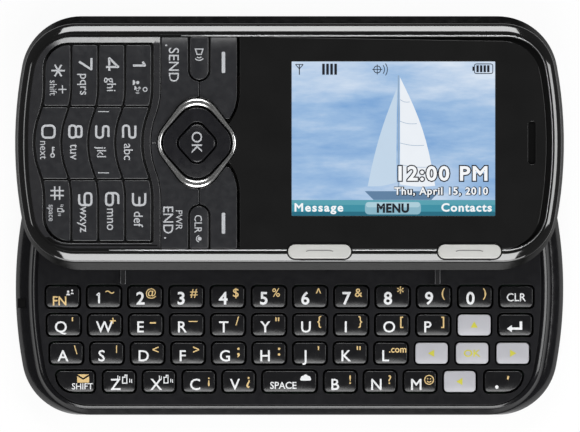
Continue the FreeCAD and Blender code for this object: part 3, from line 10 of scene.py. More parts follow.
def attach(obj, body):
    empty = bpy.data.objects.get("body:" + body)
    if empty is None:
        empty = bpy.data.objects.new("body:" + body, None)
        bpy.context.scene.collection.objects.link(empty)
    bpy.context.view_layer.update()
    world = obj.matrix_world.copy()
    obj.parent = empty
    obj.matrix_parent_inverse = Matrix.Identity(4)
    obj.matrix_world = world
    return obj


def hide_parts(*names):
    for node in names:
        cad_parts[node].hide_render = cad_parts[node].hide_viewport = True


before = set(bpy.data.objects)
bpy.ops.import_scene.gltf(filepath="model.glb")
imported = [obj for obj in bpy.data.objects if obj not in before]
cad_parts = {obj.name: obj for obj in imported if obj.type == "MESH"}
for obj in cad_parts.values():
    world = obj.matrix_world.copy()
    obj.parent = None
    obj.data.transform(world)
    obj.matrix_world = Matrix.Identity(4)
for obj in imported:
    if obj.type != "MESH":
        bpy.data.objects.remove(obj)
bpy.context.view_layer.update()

# Sizes in millimetres, in the frame of the CAD model.
MM = 0.001
HALF_LENGTH, HALF_WIDTH = 57.0, 26.35
BULGE, CORNER = 88.6, 12.5
UPPER_Y = 30.2          # the middle of the upper half, with the phone open
DECK = 8.6
CAP_TOP = 9.0
PARTING = 12.3
FACE = 16.1
SHOULDER_SIDE, SHOULDER_END, SHOULDER = 1.6, 0.6, 2.3
FACE_SIDE, FACE_END = SHOULDER_SIDE + SHOULDER, SHOULDER_END + SHOULDER


# ------------------------------------------------------------------ outlines

def arc(x, y, radius, start, end, steps):
    """Points along an arc, with both its ends; angles in degrees."""
    angles = [math.radians(start + (end - start) * k / steps) for k in range(steps + 1)]
    return [(x + radius * math.cos(a), y + radius * math.sin(a)) for a in angles]


def case_line(side, end, corner, steps=18):
    """The phone's outline drawn in by an inset at the sides and one at the ends."""
    half_x, half_y = HALF_LENGTH - end, HALF_WIDTH - side
    end_x, corner_y = half_x - BULGE, half_y - corner
    corner_x = end_x + math.sqrt((BULGE - corner) ** 2 - corner_y ** 2)
    turn = math.degrees(math.atan2(corner_y, corner_x - end_x))
    quarter = arc(end_x, 0, BULGE, 0, turn, 12)[:-1]
    quarter += arc(corner_x, corner_y, corner, turn, 90, steps)
    quarter += [(corner_x * (1 - k / 6), half_y) for k in range(1, 7)]
    half = quarter + [(-x, y) for x, y in quarter[-2::-1]]
    return half + [(x, -y) for x, y in half[-2:0:-1]]


def rounded(x, y, width, height, radii, steps=5):
    """A rectangle with round corners; radii from the upper right, counter-clockwise."""
    radii = radii if isinstance(radii, (tuple, list)) else (radii,) * 4
    line = []
    for (sx, sy, start), r in zip(((1, 1, 0), (-1, 1, 90), (-1, -1, 180), (1, -1, 270)), radii):
        line += arc(x + sx * (width / 2 - r), y + sy * (height / 2 - r), r, start, start + 90,
                    steps)
    return line


def diamond(x, y, half_x, half_y, corner, steps=12):
    """A diamond with round corners, given its reach along X and Y."""
    inner_x, inner_y = half_x - corner, half_y - corner
    lean = math.degrees(math.atan2(inner_x, inner_y))
    line = []
    for cx, cy, middle, spread in ((inner_x, 0, 0, lean), (0, inner_y, 90, 90 - lean),
                                   (-inner_x, 0, 180, lean), (0, -inner_y, 270, 90 - lean)):
        line += arc(x + cx, y + cy, corner, middle - spread, middle + spread, steps)
    return line


def wave(x, half, depth, y):
    """A wavy edge's place along X: swung out by depth towards -X near the middle."""
    radius = (half ** 2 + depth ** 2) / (4 * depth)
    away = abs(y)
    if away >= half:
        return x
    if away >= half / 2:
        return x - radius + math.sqrt(radius ** 2 - (half - away) ** 2)
    return x - depth + radius - math.sqrt(radius ** 2 - away ** 2)


def between(left, right, low, high, step=0.4):
    """The area between two edges, each a function of y, counter-clockwise."""
    count = max(2, math.ceil((high - low) / step))
    stops = [low + (high - low) * k / count for k in range(count + 1)]
    return [(right(y), y) for y in stops] + [(left(y), y) for y in reversed(stops)]


def tidy(line, least=0.02):
    """The outline without points that lie on top of each other."""
    kept = []
    for point in line:
        if not kept or math.dist(kept[-1], point) > least:
            kept.append(point)
    while len(kept) > 3 and math.dist(kept[0], kept[-1]) <= least:
        kept.pop()
    return kept


def soften(line, radius, sharp=35, steps=6):
    """The outline with its sharp corners rounded; radius may depend on the corner's place."""
    points = [Vector(p) for p in tidy(line)]
    count = len(points)
    gone, arcs = set(), {}
    for n, here in enumerate(points):
        come, go = here - points[n - 1], points[(n + 1) % count] - here
        turn = math.atan2(come.x * go.y - come.y * go.x, come.dot(go))
        if abs(turn) < math.radians(sharp):
            continue
        size = radius(*here) if callable(radius) else radius
        cut = size * math.tan(abs(turn) / 2)
        ends = []
        for way in (-1, 1):
            left, spot, k = cut, here, n
            while True:
                there = points[(k + way) % count]
                if (there - spot).length >= left:
                    ends.append(spot.lerp(there, left / (there - spot).length))
                    break
                left -= (there - spot).length
                k += way
                gone.add(k % count)
                spot = there
        come.normalize()
        side = math.copysign(1, turn)
        centre = ends[0] + side * size * Vector((-come.y, come.x))
        start = ends[0] - centre
        turned = []
        for k in range(steps):
            a = turn * k / steps
            turned.append((centre.x + start.x * math.cos(a) - start.y * math.sin(a),
                           centre.y + start.x * math.sin(a) + start.y * math.cos(a)))
        arcs[n] = turned + [tuple(ends[1])]
    result = []
    for n, here in enumerate(points):
        if n in arcs:
            result += arcs[n]
        elif n not in gone:
            result.append(tuple(here))
    return tidy(result)


def offset(line, distance):
    """The outline, counter-clockwise, drawn in by a distance."""
    points = np.array(line)
    come = points - np.roll(points, 1, 0)
    go = np.roll(points, -1, 0) - points
    come /= np.linalg.norm(come, axis=1)[:, None]
    go /= np.linalg.norm(go, axis=1)[:, None]
    left_in = np.stack((-come[:, 1], come[:, 0]), 1)
    left_out = np.stack((-go[:, 1], go[:, 0]), 1)
    lean = left_in + left_out
    lean /= np.maximum(1 + (left_in * left_out).sum(1), 0.3)[:, None]
    return [tuple(p) for p in points + distance * lean]


def inside(points, line):
    """Which of the points lie inside an outline."""
    x, y = points[:, 0], points[:, 1]
    result = np.zeros(len(points), bool)
    for (x1, y1), (x2, y2) in zip(line, line[1:] + line[:1]):
        if y1 == y2:
            continue
        crosses = ((y1 > y) != (y2 > y)) & (x < (x2 - x1) * (y - y1) / (y2 - y1) + x1)
        result ^= crosses
    return result


def near(points, line, least):
    """Which of the points lie within a distance of an outline."""
    result = np.zeros(len(points), bool)
    for p, q in zip(line, line[1:] + line[:1]):
        p, q = np.array(p), np.array(q)
        size = max(((q - p) ** 2).sum(), 1e-9)
        t = np.clip(((points - p) @ (q - p)) / size, 0, 1)[:, None]
        result |= ((points - (p + t * (q - p))) ** 2).sum(1) < least ** 2
    return result


# -------------------------------------------------------------------- meshes

EDGE_TURNS = (0, 30, 60, 90)    # the steps of a rounded edge, in degrees
TOP_RING = 0.05                 # how far a flat ring reaches in from a rounded edge


def flat(level):
    """A level surface."""
    return lambda x, y: level


def pillow(x0, y0, half_x, half_y, top, fall_x, fall_y):
    """A crowned surface that falls away from its middle."""
    return lambda x, y: top - fall_x * ((x - x0) / half_x) ** 2 - fall_y * ((y - y0) / half_y) ** 2


def within(points, lines):
    """Which of the points lie inside an odd number of the outlines."""
    result = np.zeros(len(points), bool)
    for line in lines:
        result ^= inside(points, line)
    return result


def fill(lines, spacing):
    """Triangles that fill an outline with holes: the points, and the triangles' numbers."""
    points, edges = [], []
    for line in lines:
        first = len(points)
        points += line
        edges += [(first + k, first + (k + 1) % len(line)) for k in range(len(line))]
    if spacing:
        low, high = np.min(lines[0], 0), np.max(lines[0], 0)
        grid = np.stack(np.meshgrid(np.arange(low[0], high[0], spacing),
                                    np.arange(low[1], high[1], spacing)), -1).reshape(-1, 2)
        grid = grid[within(grid, lines)]
        for line in lines:
            grid = grid[~near(grid, line, 0.45 * spacing)]
        points = points + [tuple(p) for p in grid]
    made = delaunay_2d_cdt([Vector(p) for p in points], edges, [], 0, 1e-5)
    spots = [tuple(p) for p in made[0]]
    faces = np.array([face for face in made[2]])
    middles = np.array(spots)[faces].mean(1)
    return spots, [tuple(int(n) for n in face) for face in faces[within(middles, lines)]]


def slab(outline, low, surface, edge, holes=(), spacing=0):
    """A piece that stands on a level, with a shaped top, round edges and holes."""
    vertices, faces, tops, feet = [], [], [], []
    for line, way in [(outline, 1)] + [(hole, -1) for hole in holes]:
        line = tidy(line)
        rings = [[(x, y, low) for x, y in line]]
        for turn in EDGE_TURNS:
            a = math.radians(turn)
            drawn = offset(line, way * edge * (1 - math.cos(a))) if turn else line
            rings.append([(x, y, surface(x, y) - edge * (1 - math.sin(a))) for x, y in drawn])
        feet.append(line)
        tops.append(offset(line, way * (edge + TOP_RING)))
        rings.append([(x, y, surface(x, y)) for x, y in tops[-1]])
        first, count = len(vertices), len(line)
        for k, ring in enumerate(rings):
            vertices += ring
            here = first + k * count
            if k < len(rings) - 1:
                faces += [(here + n, here + (n + 1) % count, here + count + (n + 1) % count,
                           here + count + n)[::way] for n in range(count)]
    for lines, level, way, gap in ((tops, surface, 1, spacing), (feet, flat(low), -1, 0)):
        spots, triangles = fill(lines, gap)
        first = len(vertices)
        vertices += [(x, y, level(x, y)) for x, y in spots]
        faces += [tuple(first + n for n in face[::way]) for face in triangles]
    return vertices, faces


def loft(rings, loop=False):
    """A skin over rings that have the same number of points; a loop is closed on itself."""
    count = len(rings[0])
    vertices = [point for ring in rings for point in ring]
    faces = []
    for k in range(len(rings) if loop else len(rings) - 1):
        here, there = k * count, (k + 1) % len(rings) * count
        faces += [(here + n, here + (n + 1) % count, there + (n + 1) % count, there + n)
                  for n in range(count)]
    if not loop:
        faces.append(tuple(range(count))[::-1])
        faces.append(tuple(range((len(rings) - 1) * count, len(rings) * count)))
    return vertices, faces


def joined(*forms):
    """Several meshes as one, with a material number for each."""
    vertices, faces, numbers = [], [], []
    for number, form in enumerate(forms):
        first = len(vertices)
        vertices += form[0]
        faces += [tuple(first + n for n in face) for face in form[1]]
        numbers += [number] * len(form[1])
    return vertices, faces, numbers


def clean(mesh, distance):
    """Joins the points of a mesh that lie within a distance, and turns its faces outwards."""
    work = bmesh.new()
    work.from_mesh(mesh)
    bmesh.ops.remove_doubles(work, verts=work.verts, dist=distance)
    bmesh.ops.recalc_face_normals(work, faces=work.faces)
    work.to_mesh(mesh)
    work.free()


def placed(name, data):
    """A new object of the scene."""
    thing = bpy.data.objects.new(name, data)
    bpy.context.scene.collection.objects.link(thing)
    return thing


def carved(form, cutters):
    """A closed form with other closed forms cut out of it."""
    things = []
    for vertices, faces in (form, *cutters):
        mesh = bpy.data.meshes.new("carving")
        mesh.from_pydata(vertices, [], faces)
        clean(mesh, 1e-4)
        things.append(placed("carving", mesh))
    for cutter in things[1:]:
        cut = things[0].modifiers.new("cut", "BOOLEAN")
        cut.operation, cut.solver, cut.object = "DIFFERENCE", "EXACT", cutter
    result = things[0].evaluated_get(bpy.context.evaluated_depsgraph_get()).to_mesh()
    vertices = [tuple(vertex.co) for vertex in result.vertices]
    faces = [tuple(face.vertices) for face in result.polygons]
    for thing in things:
        mesh = thing.data
        bpy.data.objects.remove(thing)
        bpy.data.meshes.remove(mesh)
    return vertices, faces


def piece(name, body, form, finishes, upper=False, nodes=(), sharp=40):
    """A finished piece of the phone, from a mesh in millimetres; sharp 0 shades it flat."""
    vertices, faces = form[:2]
    shift = UPPER_Y if upper else 0
    mesh = bpy.data.meshes.new(name)
    mesh.from_pydata([(x * MM, (y + shift) * MM, z * MM) for x, y, z in vertices], [], faces)
    finishes = finishes if isinstance(finishes, list) else [finishes]
    for finish in finishes:
        mesh.materials.append(finish)
    if len(form) > 2 and len(finishes) > 1:
        mesh.polygons.foreach_set("material_index", form[2])
    clean(mesh, 1e-6)
    mesh.polygons.foreach_set("use_smooth", [sharp > 0] * len(mesh.polygons))
    mesh.set_sharp_from_angle(angle=math.radians(sharp))
    thing = placed(name, mesh)
    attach(thing, body)
    if nodes:
        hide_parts(*nodes)


# ----------------------------------------------------------------- materials

def feed(tree, node, feeds):
    """Gives a node's inputs their values, or links them to other nodes' outputs."""
    for socket, source in feeds.items():
        if isinstance(source, bpy.types.NodeSocket):
            tree.links.new(source, node.inputs[socket])
        else:
            node.inputs[socket].default_value = source


def add(tree, kind, feeds=None, **settings):
    """The outputs of a new node with its inputs fed."""
    node = tree.nodes.new(kind)
    for name, setting in settings.items():
        setattr(node, name, setting)
    feed(tree, node, feeds or {})
    return node.outputs


def ramp(tree, source, *stops):
    """A colour that runs through stops, each a position and a colour."""
    colours = add(tree, "ShaderNodeValToRGB", {"Fac": source})["Color"]
    elements = colours.node.color_ramp.elements
    for number, (position, colour) in enumerate(stops):
        inner = 0 < number < len(stops) - 1
        stop = elements.new(position) if inner else elements[-1 if number else 0]
        stop.position, stop.color = position, (*colour, 1)
    return colours


def finish(name, colour, rough, vary=0.12, rough_vary=0.05, patch=120, grain=9000, bump=0.05,
           brushed=False, **sockets):
    """A material whose colour and roughness change over patches, with a fine grain.

    Patch and grain are noise scales per metre, and brushed draws both out along X; other
    names set sockets of the shader.
    """
    material = bpy.data.materials.new(name)
    material.use_nodes = True
    tree = material.node_tree
    place = add(tree, "ShaderNodeTexCoord")["Object"]
    if brushed:
        place = add(tree, "ShaderNodeMapping", {"Vector": place, "Scale": (0.03, 1, 1)})["Vector"]

    def noise(scale, detail):
        return add(tree, "ShaderNodeTexNoise",
                   {"Vector": place, "Scale": scale, "Detail": detail})["Fac"]

    feeds = {
        "Base Color": ramp(tree, noise(patch, 3), (0.3, [c * (1 - vary) for c in colour]),
                           (0.7, [min(1, c * (1 + vary)) for c in colour])),
        "Roughness": add(tree, "ShaderNodeMapRange", {
            "Value": noise(patch * 6, 4), "From Min": 0.3, "From Max": 0.7,
            "To Min": max(0.02, rough - rough_vary), "To Max": rough + rough_vary})["Result"]}
    if bump:
        feeds["Normal"] = add(tree, "ShaderNodeBump", {
            "Height": noise(grain, 2), "Strength": bump, "Distance": 2e-5})["Normal"]
    for socket, size in sockets.items():
        feeds[socket.replace("_", " ")] = size
    feed(tree, tree.nodes["Principled BSDF"], feeds)
    return material


def glowing(name, picture):
    """The finish of a lit part of the screen, whose colour picture works out."""
    material = finish(name, (0.004, 0.004, 0.004), 0.08, bump=0, IOR=1.5, Emission_Strength=1.0)
    tree = material.node_tree
    place = add(tree, "ShaderNodeTexCoord")["Object"]
    feed(tree, tree.nodes["Principled BSDF"], {"Emission Color": picture(tree, place)})
    return material


def lit(colour):
    """A picture of one colour, with faint mottling."""
    def picture(tree, place):
        mottle = add(tree, "ShaderNodeTexNoise", {"Vector": place, "Scale": 400})["Fac"]
        return ramp(tree, mottle, (0, [c * 0.96 for c in colour]), (1, colour))
    return picture


RIM = finish("rim_gloss", (0.004, 0.004, 0.004), 0.08, rough_vary=0.02, bump=0.01, IOR=1.8)
REAR_RIM = finish("rear_gloss", (0.003, 0.003, 0.003), 0.22, bump=0.02, IOR=1.3)
FACE_PLASTIC = finish("face_plastic", (0.02, 0.02, 0.022), 0.24, vary=0.08, bump=0.01, IOR=1.75)
GLASS = finish("window_gloss", (0.0085, 0.0085, 0.0085), 0.05, rough_vary=0.01, bump=0, IOR=1.5)
CHROME = finish("bright_chrome", (0.75, 0.76, 0.78), 0.1, vary=0.04, rough_vary=0.03, bump=0,
                Metallic=1.0)
TRIM = finish("trim_chrome", (0.62, 0.62, 0.63), 0.36, vary=0.04, rough_vary=0.03, bump=0,
              Metallic=1.0)
RING = finish("ring_chrome", (0.88, 0.88, 0.87), 0.2, vary=0.03, rough_vary=0.03, bump=0,
              Metallic=1.0)
FRONT_KEY = finish("front_key_plastic", (0.013, 0.0135, 0.016), 0.33, vary=0.08, bump=0.015,
                   IOR=1.7)
PAD = finish("pad_plastic", (0.009, 0.009, 0.011), 0.28, vary=0.08, bump=0.015, IOR=1.5)
DECK_PLASTIC = finish("deck_plastic", (0.0058, 0.0058, 0.0072), 0.42, bump=0.04, IOR=1.35)
BASE_GLOSS = finish("base_gloss", (0.004, 0.004, 0.005), 0.16, bump=0.03, IOR=1.5)
LETTER_CAP = finish("letter_cap", (0.007, 0.007, 0.008), 0.24, bump=0.01)
SILVER_CAP = finish("silver_cap", (0.43, 0.43, 0.46), 0.38, vary=0.05, bump=0.05)
PALE_CAP = finish("pale_cap", (0.54, 0.54, 0.52), 0.36, vary=0.05, bump=0.05)
KEY_LINE = finish("key_line", (0.16, 0.16, 0.16), 0.4, bump=0)
WHITE_PRINT = finish("white_print", (0.75, 0.76, 0.77), 0.5, vary=0.04, bump=0)
GREY_PRINT = finish("grey_print", (0.47, 0.48, 0.5), 0.5, vary=0.05, bump=0)
GOLD_PRINT = finish("gold_print", (0.7, 0.5, 0.22), 0.5, vary=0.06, bump=0)
LIME_PRINT = finish("lime_print", (0.55, 0.52, 0.05), 0.5, vary=0.08, bump=0)
# Pale grey of the slot lips and dots: painted highlight along the slot edges and a painted glint
# at each slot's end.
SLOT_HIGHLIGHT_GREY = finish("slot_edge_highlight", (0.3, 0.3, 0.31), 0.3, bump=0.02)
MESH_GREY = finish("mesh_grey", (0.002, 0.002, 0.002), 0.7, IOR=1.15)
# Black of the rubber seals, also used for the strip of painted shade on the face plate.
SEAL_AND_SHADE = finish("rubber_seal_and_painted_shade", (0.002, 0.002, 0.002), 0.6, IOR=1.2)
BOARD_BLACK = finish("board_black", (0.004, 0.004, 0.004), 0.6)
BOARD_GREEN = finish("board_green", (0.004, 0.022, 0.01), 0.5)
STEEL = finish("plate_steel", (0.42, 0.42, 0.43), 0.34, vary=0.08, rough_vary=0.06, patch=2500,
               grain=7000, bump=0.08, brushed=True, Metallic=1.0)
BLACK_STEEL = finish("coated_steel", (0.008, 0.008, 0.009), 0.4, vary=0.1, grain=6000, bump=0.05)
LENS = finish("camera_lens", (0.004, 0.006, 0.014), 0.04, rough_vary=0.01, bump=0, IOR=1.7)
CELL_WRAP = finish("cell_wrap", (0.25, 0.26, 0.28), 0.4)
CASE_BACK = finish("case_back", (0.012, 0.012, 0.013), 0.36, bump=0.06, grain=6000)
COPPER = finish("contact_gold", (0.8, 0.55, 0.2), 0.25, Metallic=1.0)
FLEX_FILM = finish("flex_film", (0.008, 0.005, 0.003), 0.45)


def edge_sharpener():
    """A modifier group that keeps edges sharp where faces meet at more than 28 degrees."""
    group = bpy.data.node_groups.new("sharp_edges", "GeometryNodeTree")
    for way in ("INPUT", "OUTPUT"):
        group.interface.new_socket("Geometry", in_out=way, socket_type="NodeSocketGeometry")
    angle = add(group, "GeometryNodeInputMeshEdgeAngle")["Unsigned Angle"]
    steep = add(group, "FunctionNodeCompare", {"A": angle, "B": math.radians(28)},
                operation="GREATER_THAN")["Result"]
    shaded = add(group, "GeometryNodeSetShadeSmooth",
                 {"Geometry": add(group, "NodeGroupInput")[0], "Selection": steep,
                  "Shade Smooth": False}, domain="EDGE")["Geometry"]
    add(group, "NodeGroupOutput", {0: shaded})
    return group


SHARP_EDGES = edge_sharpener()


def even_shading(node):
    """Shades a CAD node's flats flat and its rounded edges smooth; its shape stays."""
    node.modifiers.new("sharp_edges", "NODES").node_group = SHARP_EDGES
    weighted = node.modifiers.new("even_flats", "WEIGHTED_NORMAL")
    weighted.keep_sharp = True
    weighted.weight = 100


NODE_FINISH = {
    "base_rear_case": CASE_BACK, "battery_cover": CASE_BACK, "keyboard_deck": DECK_PLASTIC,
    "slider_rear_case": REAR_RIM, "slider_front_case": FACE_PLASTIC, "volume_rocker": CASE_BACK,
    "display_window": GLASS, "camera_window": GLASS, "window_trim": CHROME,
    "nav_trim_ring": CHROME, "main_board": BOARD_GREEN, "keypad_board": BOARD_BLACK,
    "keyboard_dome_sheet": SEAL_AND_SHADE, "shield_cans": STEEL, "fixed_slide_plate": BLACK_STEEL,
    "moving_slide_plate": STEEL, "case_screws": STEEL, "slider_screws": STEEL,
    "battery_pack": CELL_WRAP, "battery_contacts": COPPER, "link_flex": FLEX_FILM,
    "antenna": BOARD_BLACK, "headset_jack": CASE_BACK, "charging_port": STEEL,
    "vibration_motor": STEEL, "display_frame": STEEL, "earpiece_mesh": MESH_GREY,
}
for node_name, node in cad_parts.items():
    node.data.materials.clear()
    node.data.materials.append(NODE_FINISH.get(node_name, CASE_BACK))
    even_shading(node)


# ------------------------------------------------------- the upper half: rim

def profile(tilts):
    """A shoulder's points, inset and drop, from (inset, tilt in degrees) pairs."""
    points, drop = [(tilts[-1][0], 0.0)], 0.0
    for (far, tilt), (inset, steeper) in zip(tilts[::-1], tilts[-2::-1]):
        drop += (far - inset) * math.tan(math.radians((tilt + steeper) / 2))
        points.append((inset, drop))
    return points[::-1]


SHOULDER_TILTS = ((0, 88), (0.04, 52), (0.12, 33), (0.5, 29), (1.0, 24), (1.5, 19), (1.8, 15),
                  (2.1, 8), (2.25, 3))


def opened(line, low_x=0, high_x=0):
    """An outline's part right of low_x below the middle, and right of high_x above it."""
    return ([point for point in line if point[1] < 0 and point[0] > low_x]
            + [point for point in line if point[1] >= 0 and point[0] > high_x])


def upper_line(inset):
    """The upper half's outline, drawn in from the foot of its shoulder, less so at the ends."""
    corner = max(CORNER - SHOULDER_SIDE - inset, 0.5)
    return case_line(SHOULDER_SIDE + inset, SHOULDER_END + 0.75 * inset, corner)


def rim_key_pockets():
    """Room in the rim for the two silver keys and their seals, with the keys' travel."""
    return [slab(rim_key_line(x, 0.28), KEY_FOOT - 0.6, flat(FACE + 2), 0.01)
            for x in WIDE_KEY_XS]


def make_rim():
    """The upper half's round shoulder, with pockets for the two keys on it."""
    section = [(1.0, PARTING), (0, PARTING)]
    section += [(inset, FACE - drop) for inset, drop in profile(SHOULDER_TILTS)]
    section += [(2.3, FACE - 0.1), (2.3, FACE - 0.35), (2.9, FACE - 0.35), (2.9, FACE - 1.5),
                (1.0, FACE - 1.5)]
    rings = [[(x, y, z) for x, y in upper_line(inset)] for inset, z in section]
    form = carved(loft(rings, loop=True), rim_key_pockets())
    piece("upper_rim", "slider", form, RIM, True, ["slider_front_case"])


def make_trim():
    """The bright line round the window's half of the face; the rim keys interrupt it."""
    outer, inner = (opened(upper_line(inset), -44, -27.5) for inset in (2.4, 2.63))
    form = slab(outer + inner[::-1], FACE - 0.4, flat(FACE + 0.03), 0.06)
    form = carved(form, rim_key_pockets())
    piece("face_trim", "slider", form, TRIM, True, ["window_trim"])


# --------------------------------------------------- the upper half: its face

NUMBER_EDGE, NUMBER_PITCH = -28.5, 5.58
NUMBER_OUTER, NUMBER_INNER = 20.45, 7.58
NUMBER_WAVE = (11.6, 2.07)
NUMBER_ROUND = 4.9
NUMBER_KEYS = (("key_3", "key_2", "key_1"), ("key_6", "key_5", "key_4"),
               ("key_9", "key_8", "key_7"), ("key_hash", "key_0", "key_star"))
NAV_LEFT, NAV_RIGHT, NAV_OUTER = -26.6, -10.9, 21.9
NAV_X, NAV_PARTING = -19.2, -18.73
RING_OUTER, RING_INNER, RING_FOOT = (8.18, 9.29, 5.0), (7.35, 7.75, 4.4), 13.9
SLOT_HALF = 1.95        # half the width of the round-ended keys
WINDOW_WAVE = (10.3, 3.0)
WINDOW_EDGE = -10.3
SCREEN_X, SCREEN_Y, SCREEN_LENGTH, SCREEN_WIDTH = 21.54, 0.88, 42.2, 32.0
WIDE_KEY_XS, WIDE_KEY_Y = (6.23, 37.3), -22.48
KEY_FOOT = 14.25


def key_surface(x, y):
    """The hollow face that the front keys share: it rises towards the long sides."""
    if y > 0:
        return FACE - 0.58 + 0.62 * max(0, (y - 14.6) / 7.4) ** 4
    return FACE - 0.58 + 0.38 * max(0, (-y - 11) / 11) ** 3


def number_edge(x):
    """The wavy edge between two columns of number keys."""
    return lambda y: wave(x, *NUMBER_WAVE, y)


def window_edge(x):
    """The wavy edge between the window and the keys."""
    return lambda y: wave(x, *WINDOW_WAVE, y)


def ring_reach(gap, side):
    """How far the navigation ring's outline reaches along X, as a function of y."""
    line = diamond(NAV_X, 0, *(size + gap for size in RING_OUTER))
    line = sorted((y, x) for x, y in line if (x - NAV_X) * side >= 0)
    ys, xs = zip(*line)

    def reach(y):
        return float(np.interp(y, ys, xs)) if ys[0] < y < ys[-1] else NAV_X
    return reach


def number_field(gap):
    """The outline round all the number keys."""
    outer = NUMBER_OUTER + gap
    line = between(number_edge(NUMBER_EDGE - 4 * NUMBER_PITCH - gap),
                   number_edge(NUMBER_EDGE + gap), -outer, outer)
    return soften(line, lambda x, y: NUMBER_ROUND + gap if x < -50 else 0.5)


def window_line():
    """The display window: a wavy left edge, and a right half that narrows to the end."""
    inset = 0.42
    line = opened(case_line(FACE_SIDE + inset, FACE_END + 2 * inset, CORNER - FACE_SIDE - inset))
    line = [(x, y * (1 - 0.04 * min(1, (x + 8) / 50)) if y > 0 else y) for x, y in line]
    half_y = HALF_WIDTH - FACE_SIDE - inset
    edge, ring = window_edge(WINDOW_EDGE), ring_reach(0.12, 1)
    stops = [half_y * (1 - k / 50) for k in range(101)]
    return tidy(line + [(max(edge(y), ring(y)) if abs(y) < 9.2 else edge(y), y) for y in stops])


def rim_key_line(x, gap):
    """The outline of a key on the rim, or of what is a gap round it."""
    width = 3.0 + 2 * gap
    return rounded(x, WIDE_KEY_Y, 13.1 + 2 * gap, width, width / 2 - 0.02, 8)


def plate_surface(x, y):
    """The plate round the number keys: it rises steeply to the rim along its upper side."""
    reach_x, reach_y = min(0.0, x + 45.9), max(0.0, abs(y) - 15.55)
    away = math.hypot(reach_x, reach_y)
    share = (reach_y / away) ** 2 if away else 0.0
    rise = (0.4 if y > 0 else 0.12) * share
    return min(FACE - 0.02, FACE - 0.55 + rise * max(0.0, away - 5.1))


def make_face():
    """The plate round the number keys, a black strip of painted shade laid on its lower edge, and
    the black seat of the window.
    """
    left = [point for point in upper_line(2.72) if point[0] < -27.2]
    top = left[0][1]
    edge, ring = number_edge(NAV_LEFT - 0.16), ring_reach(0.16, -1)
    stops = [-top + 2 * top * k / 120 for k in range(121)]
    right = [(min(edge(y), ring(y) if abs(y) < 9.4 else 99), y) for y in stops]
    face = slab(left + right, FACE - 1.6, plate_surface, 0.12, [number_field(0.3)], 0.6)
    piece("face_plate", "slider", face, FACE_PLASTIC, True)

    # Painted shade: a black strip laid on the plate along its lower side, between the number keys
    # and the rim.
    low_edge = [point for point in upper_line(2.76) if point[0] < -44 and point[1] < -19.6]
    field = [point for point in number_field(0.66) if point[0] < -44 and point[1] < -19]
    for line, end_y in ((low_edge, min(y for _, y in upper_line(2.76))),
                        (field, -NUMBER_OUTER - 0.66)):
        line.sort(key=lambda point: point[0] - point[1])
        line.append((-27.4, end_y))
    shade_strip = slab(tidy(low_edge + field[::-1]), FACE - 0.9, flat(FACE - 0.46), 0.03)
    piece("face_painted_shade_strip", "slider", shade_strip, SEAL_AND_SHADE, True)

    seat = opened(upper_line(2.7))
    inner = window_edge(WINDOW_EDGE + 0.4)
    seat += [(inner(y), y) for y in [seat[-1][1] * (1 - k / 50) for k in range(101)]]
    opening = rounded(SCREEN_X, SCREEN_Y, SCREEN_LENGTH + 1.2, SCREEN_WIDTH + 1.2, 0.3, 2)
    seat = slab(tidy(seat), FACE - 1.5, flat(FACE - 1.0), 0.05, [opening])
    piece("window_seat", "slider", seat, SEAL_AND_SHADE, True)


def make_window():
    """The black glass, open over the display and the earpiece."""
    opening = rounded(SCREEN_X, SCREEN_Y, SCREEN_LENGTH, SCREEN_WIDTH, 0.1, 1)
    ear = rounded(50.24, 0, 1.56, 8.9, 0.76, 6)
    glass = slab(window_line(), FACE - 0.9, flat(FACE), 0.08, [opening, ear], 2.5)
    piece("window_glass", "slider", glass, GLASS, True, ["display_window"])


def make_number_keys():
    """The twelve number keys, in three columns between wavy edges."""
    rows = (-NUMBER_OUTER, -NUMBER_INNER, NUMBER_INNER, NUMBER_OUTER)
    for column, labels in enumerate(NUMBER_KEYS):
        left = number_edge(NUMBER_EDGE - (column + 1) * NUMBER_PITCH + 0.2)
        right = number_edge(NUMBER_EDGE - column * NUMBER_PITCH - 0.2)
        for row, label in enumerate(labels):
            line = between(left, right, rows[row] + 0.15, rows[row + 1] - 0.15)
            line = soften(line, lambda x, y: NUMBER_ROUND if x < -50 and abs(y) > 19 else 0.3)
            form = slab(line, KEY_FOOT, key_surface, 0.14, spacing=0.9)
            piece(label + "_cap", label, form, FRONT_KEY, True, [label])


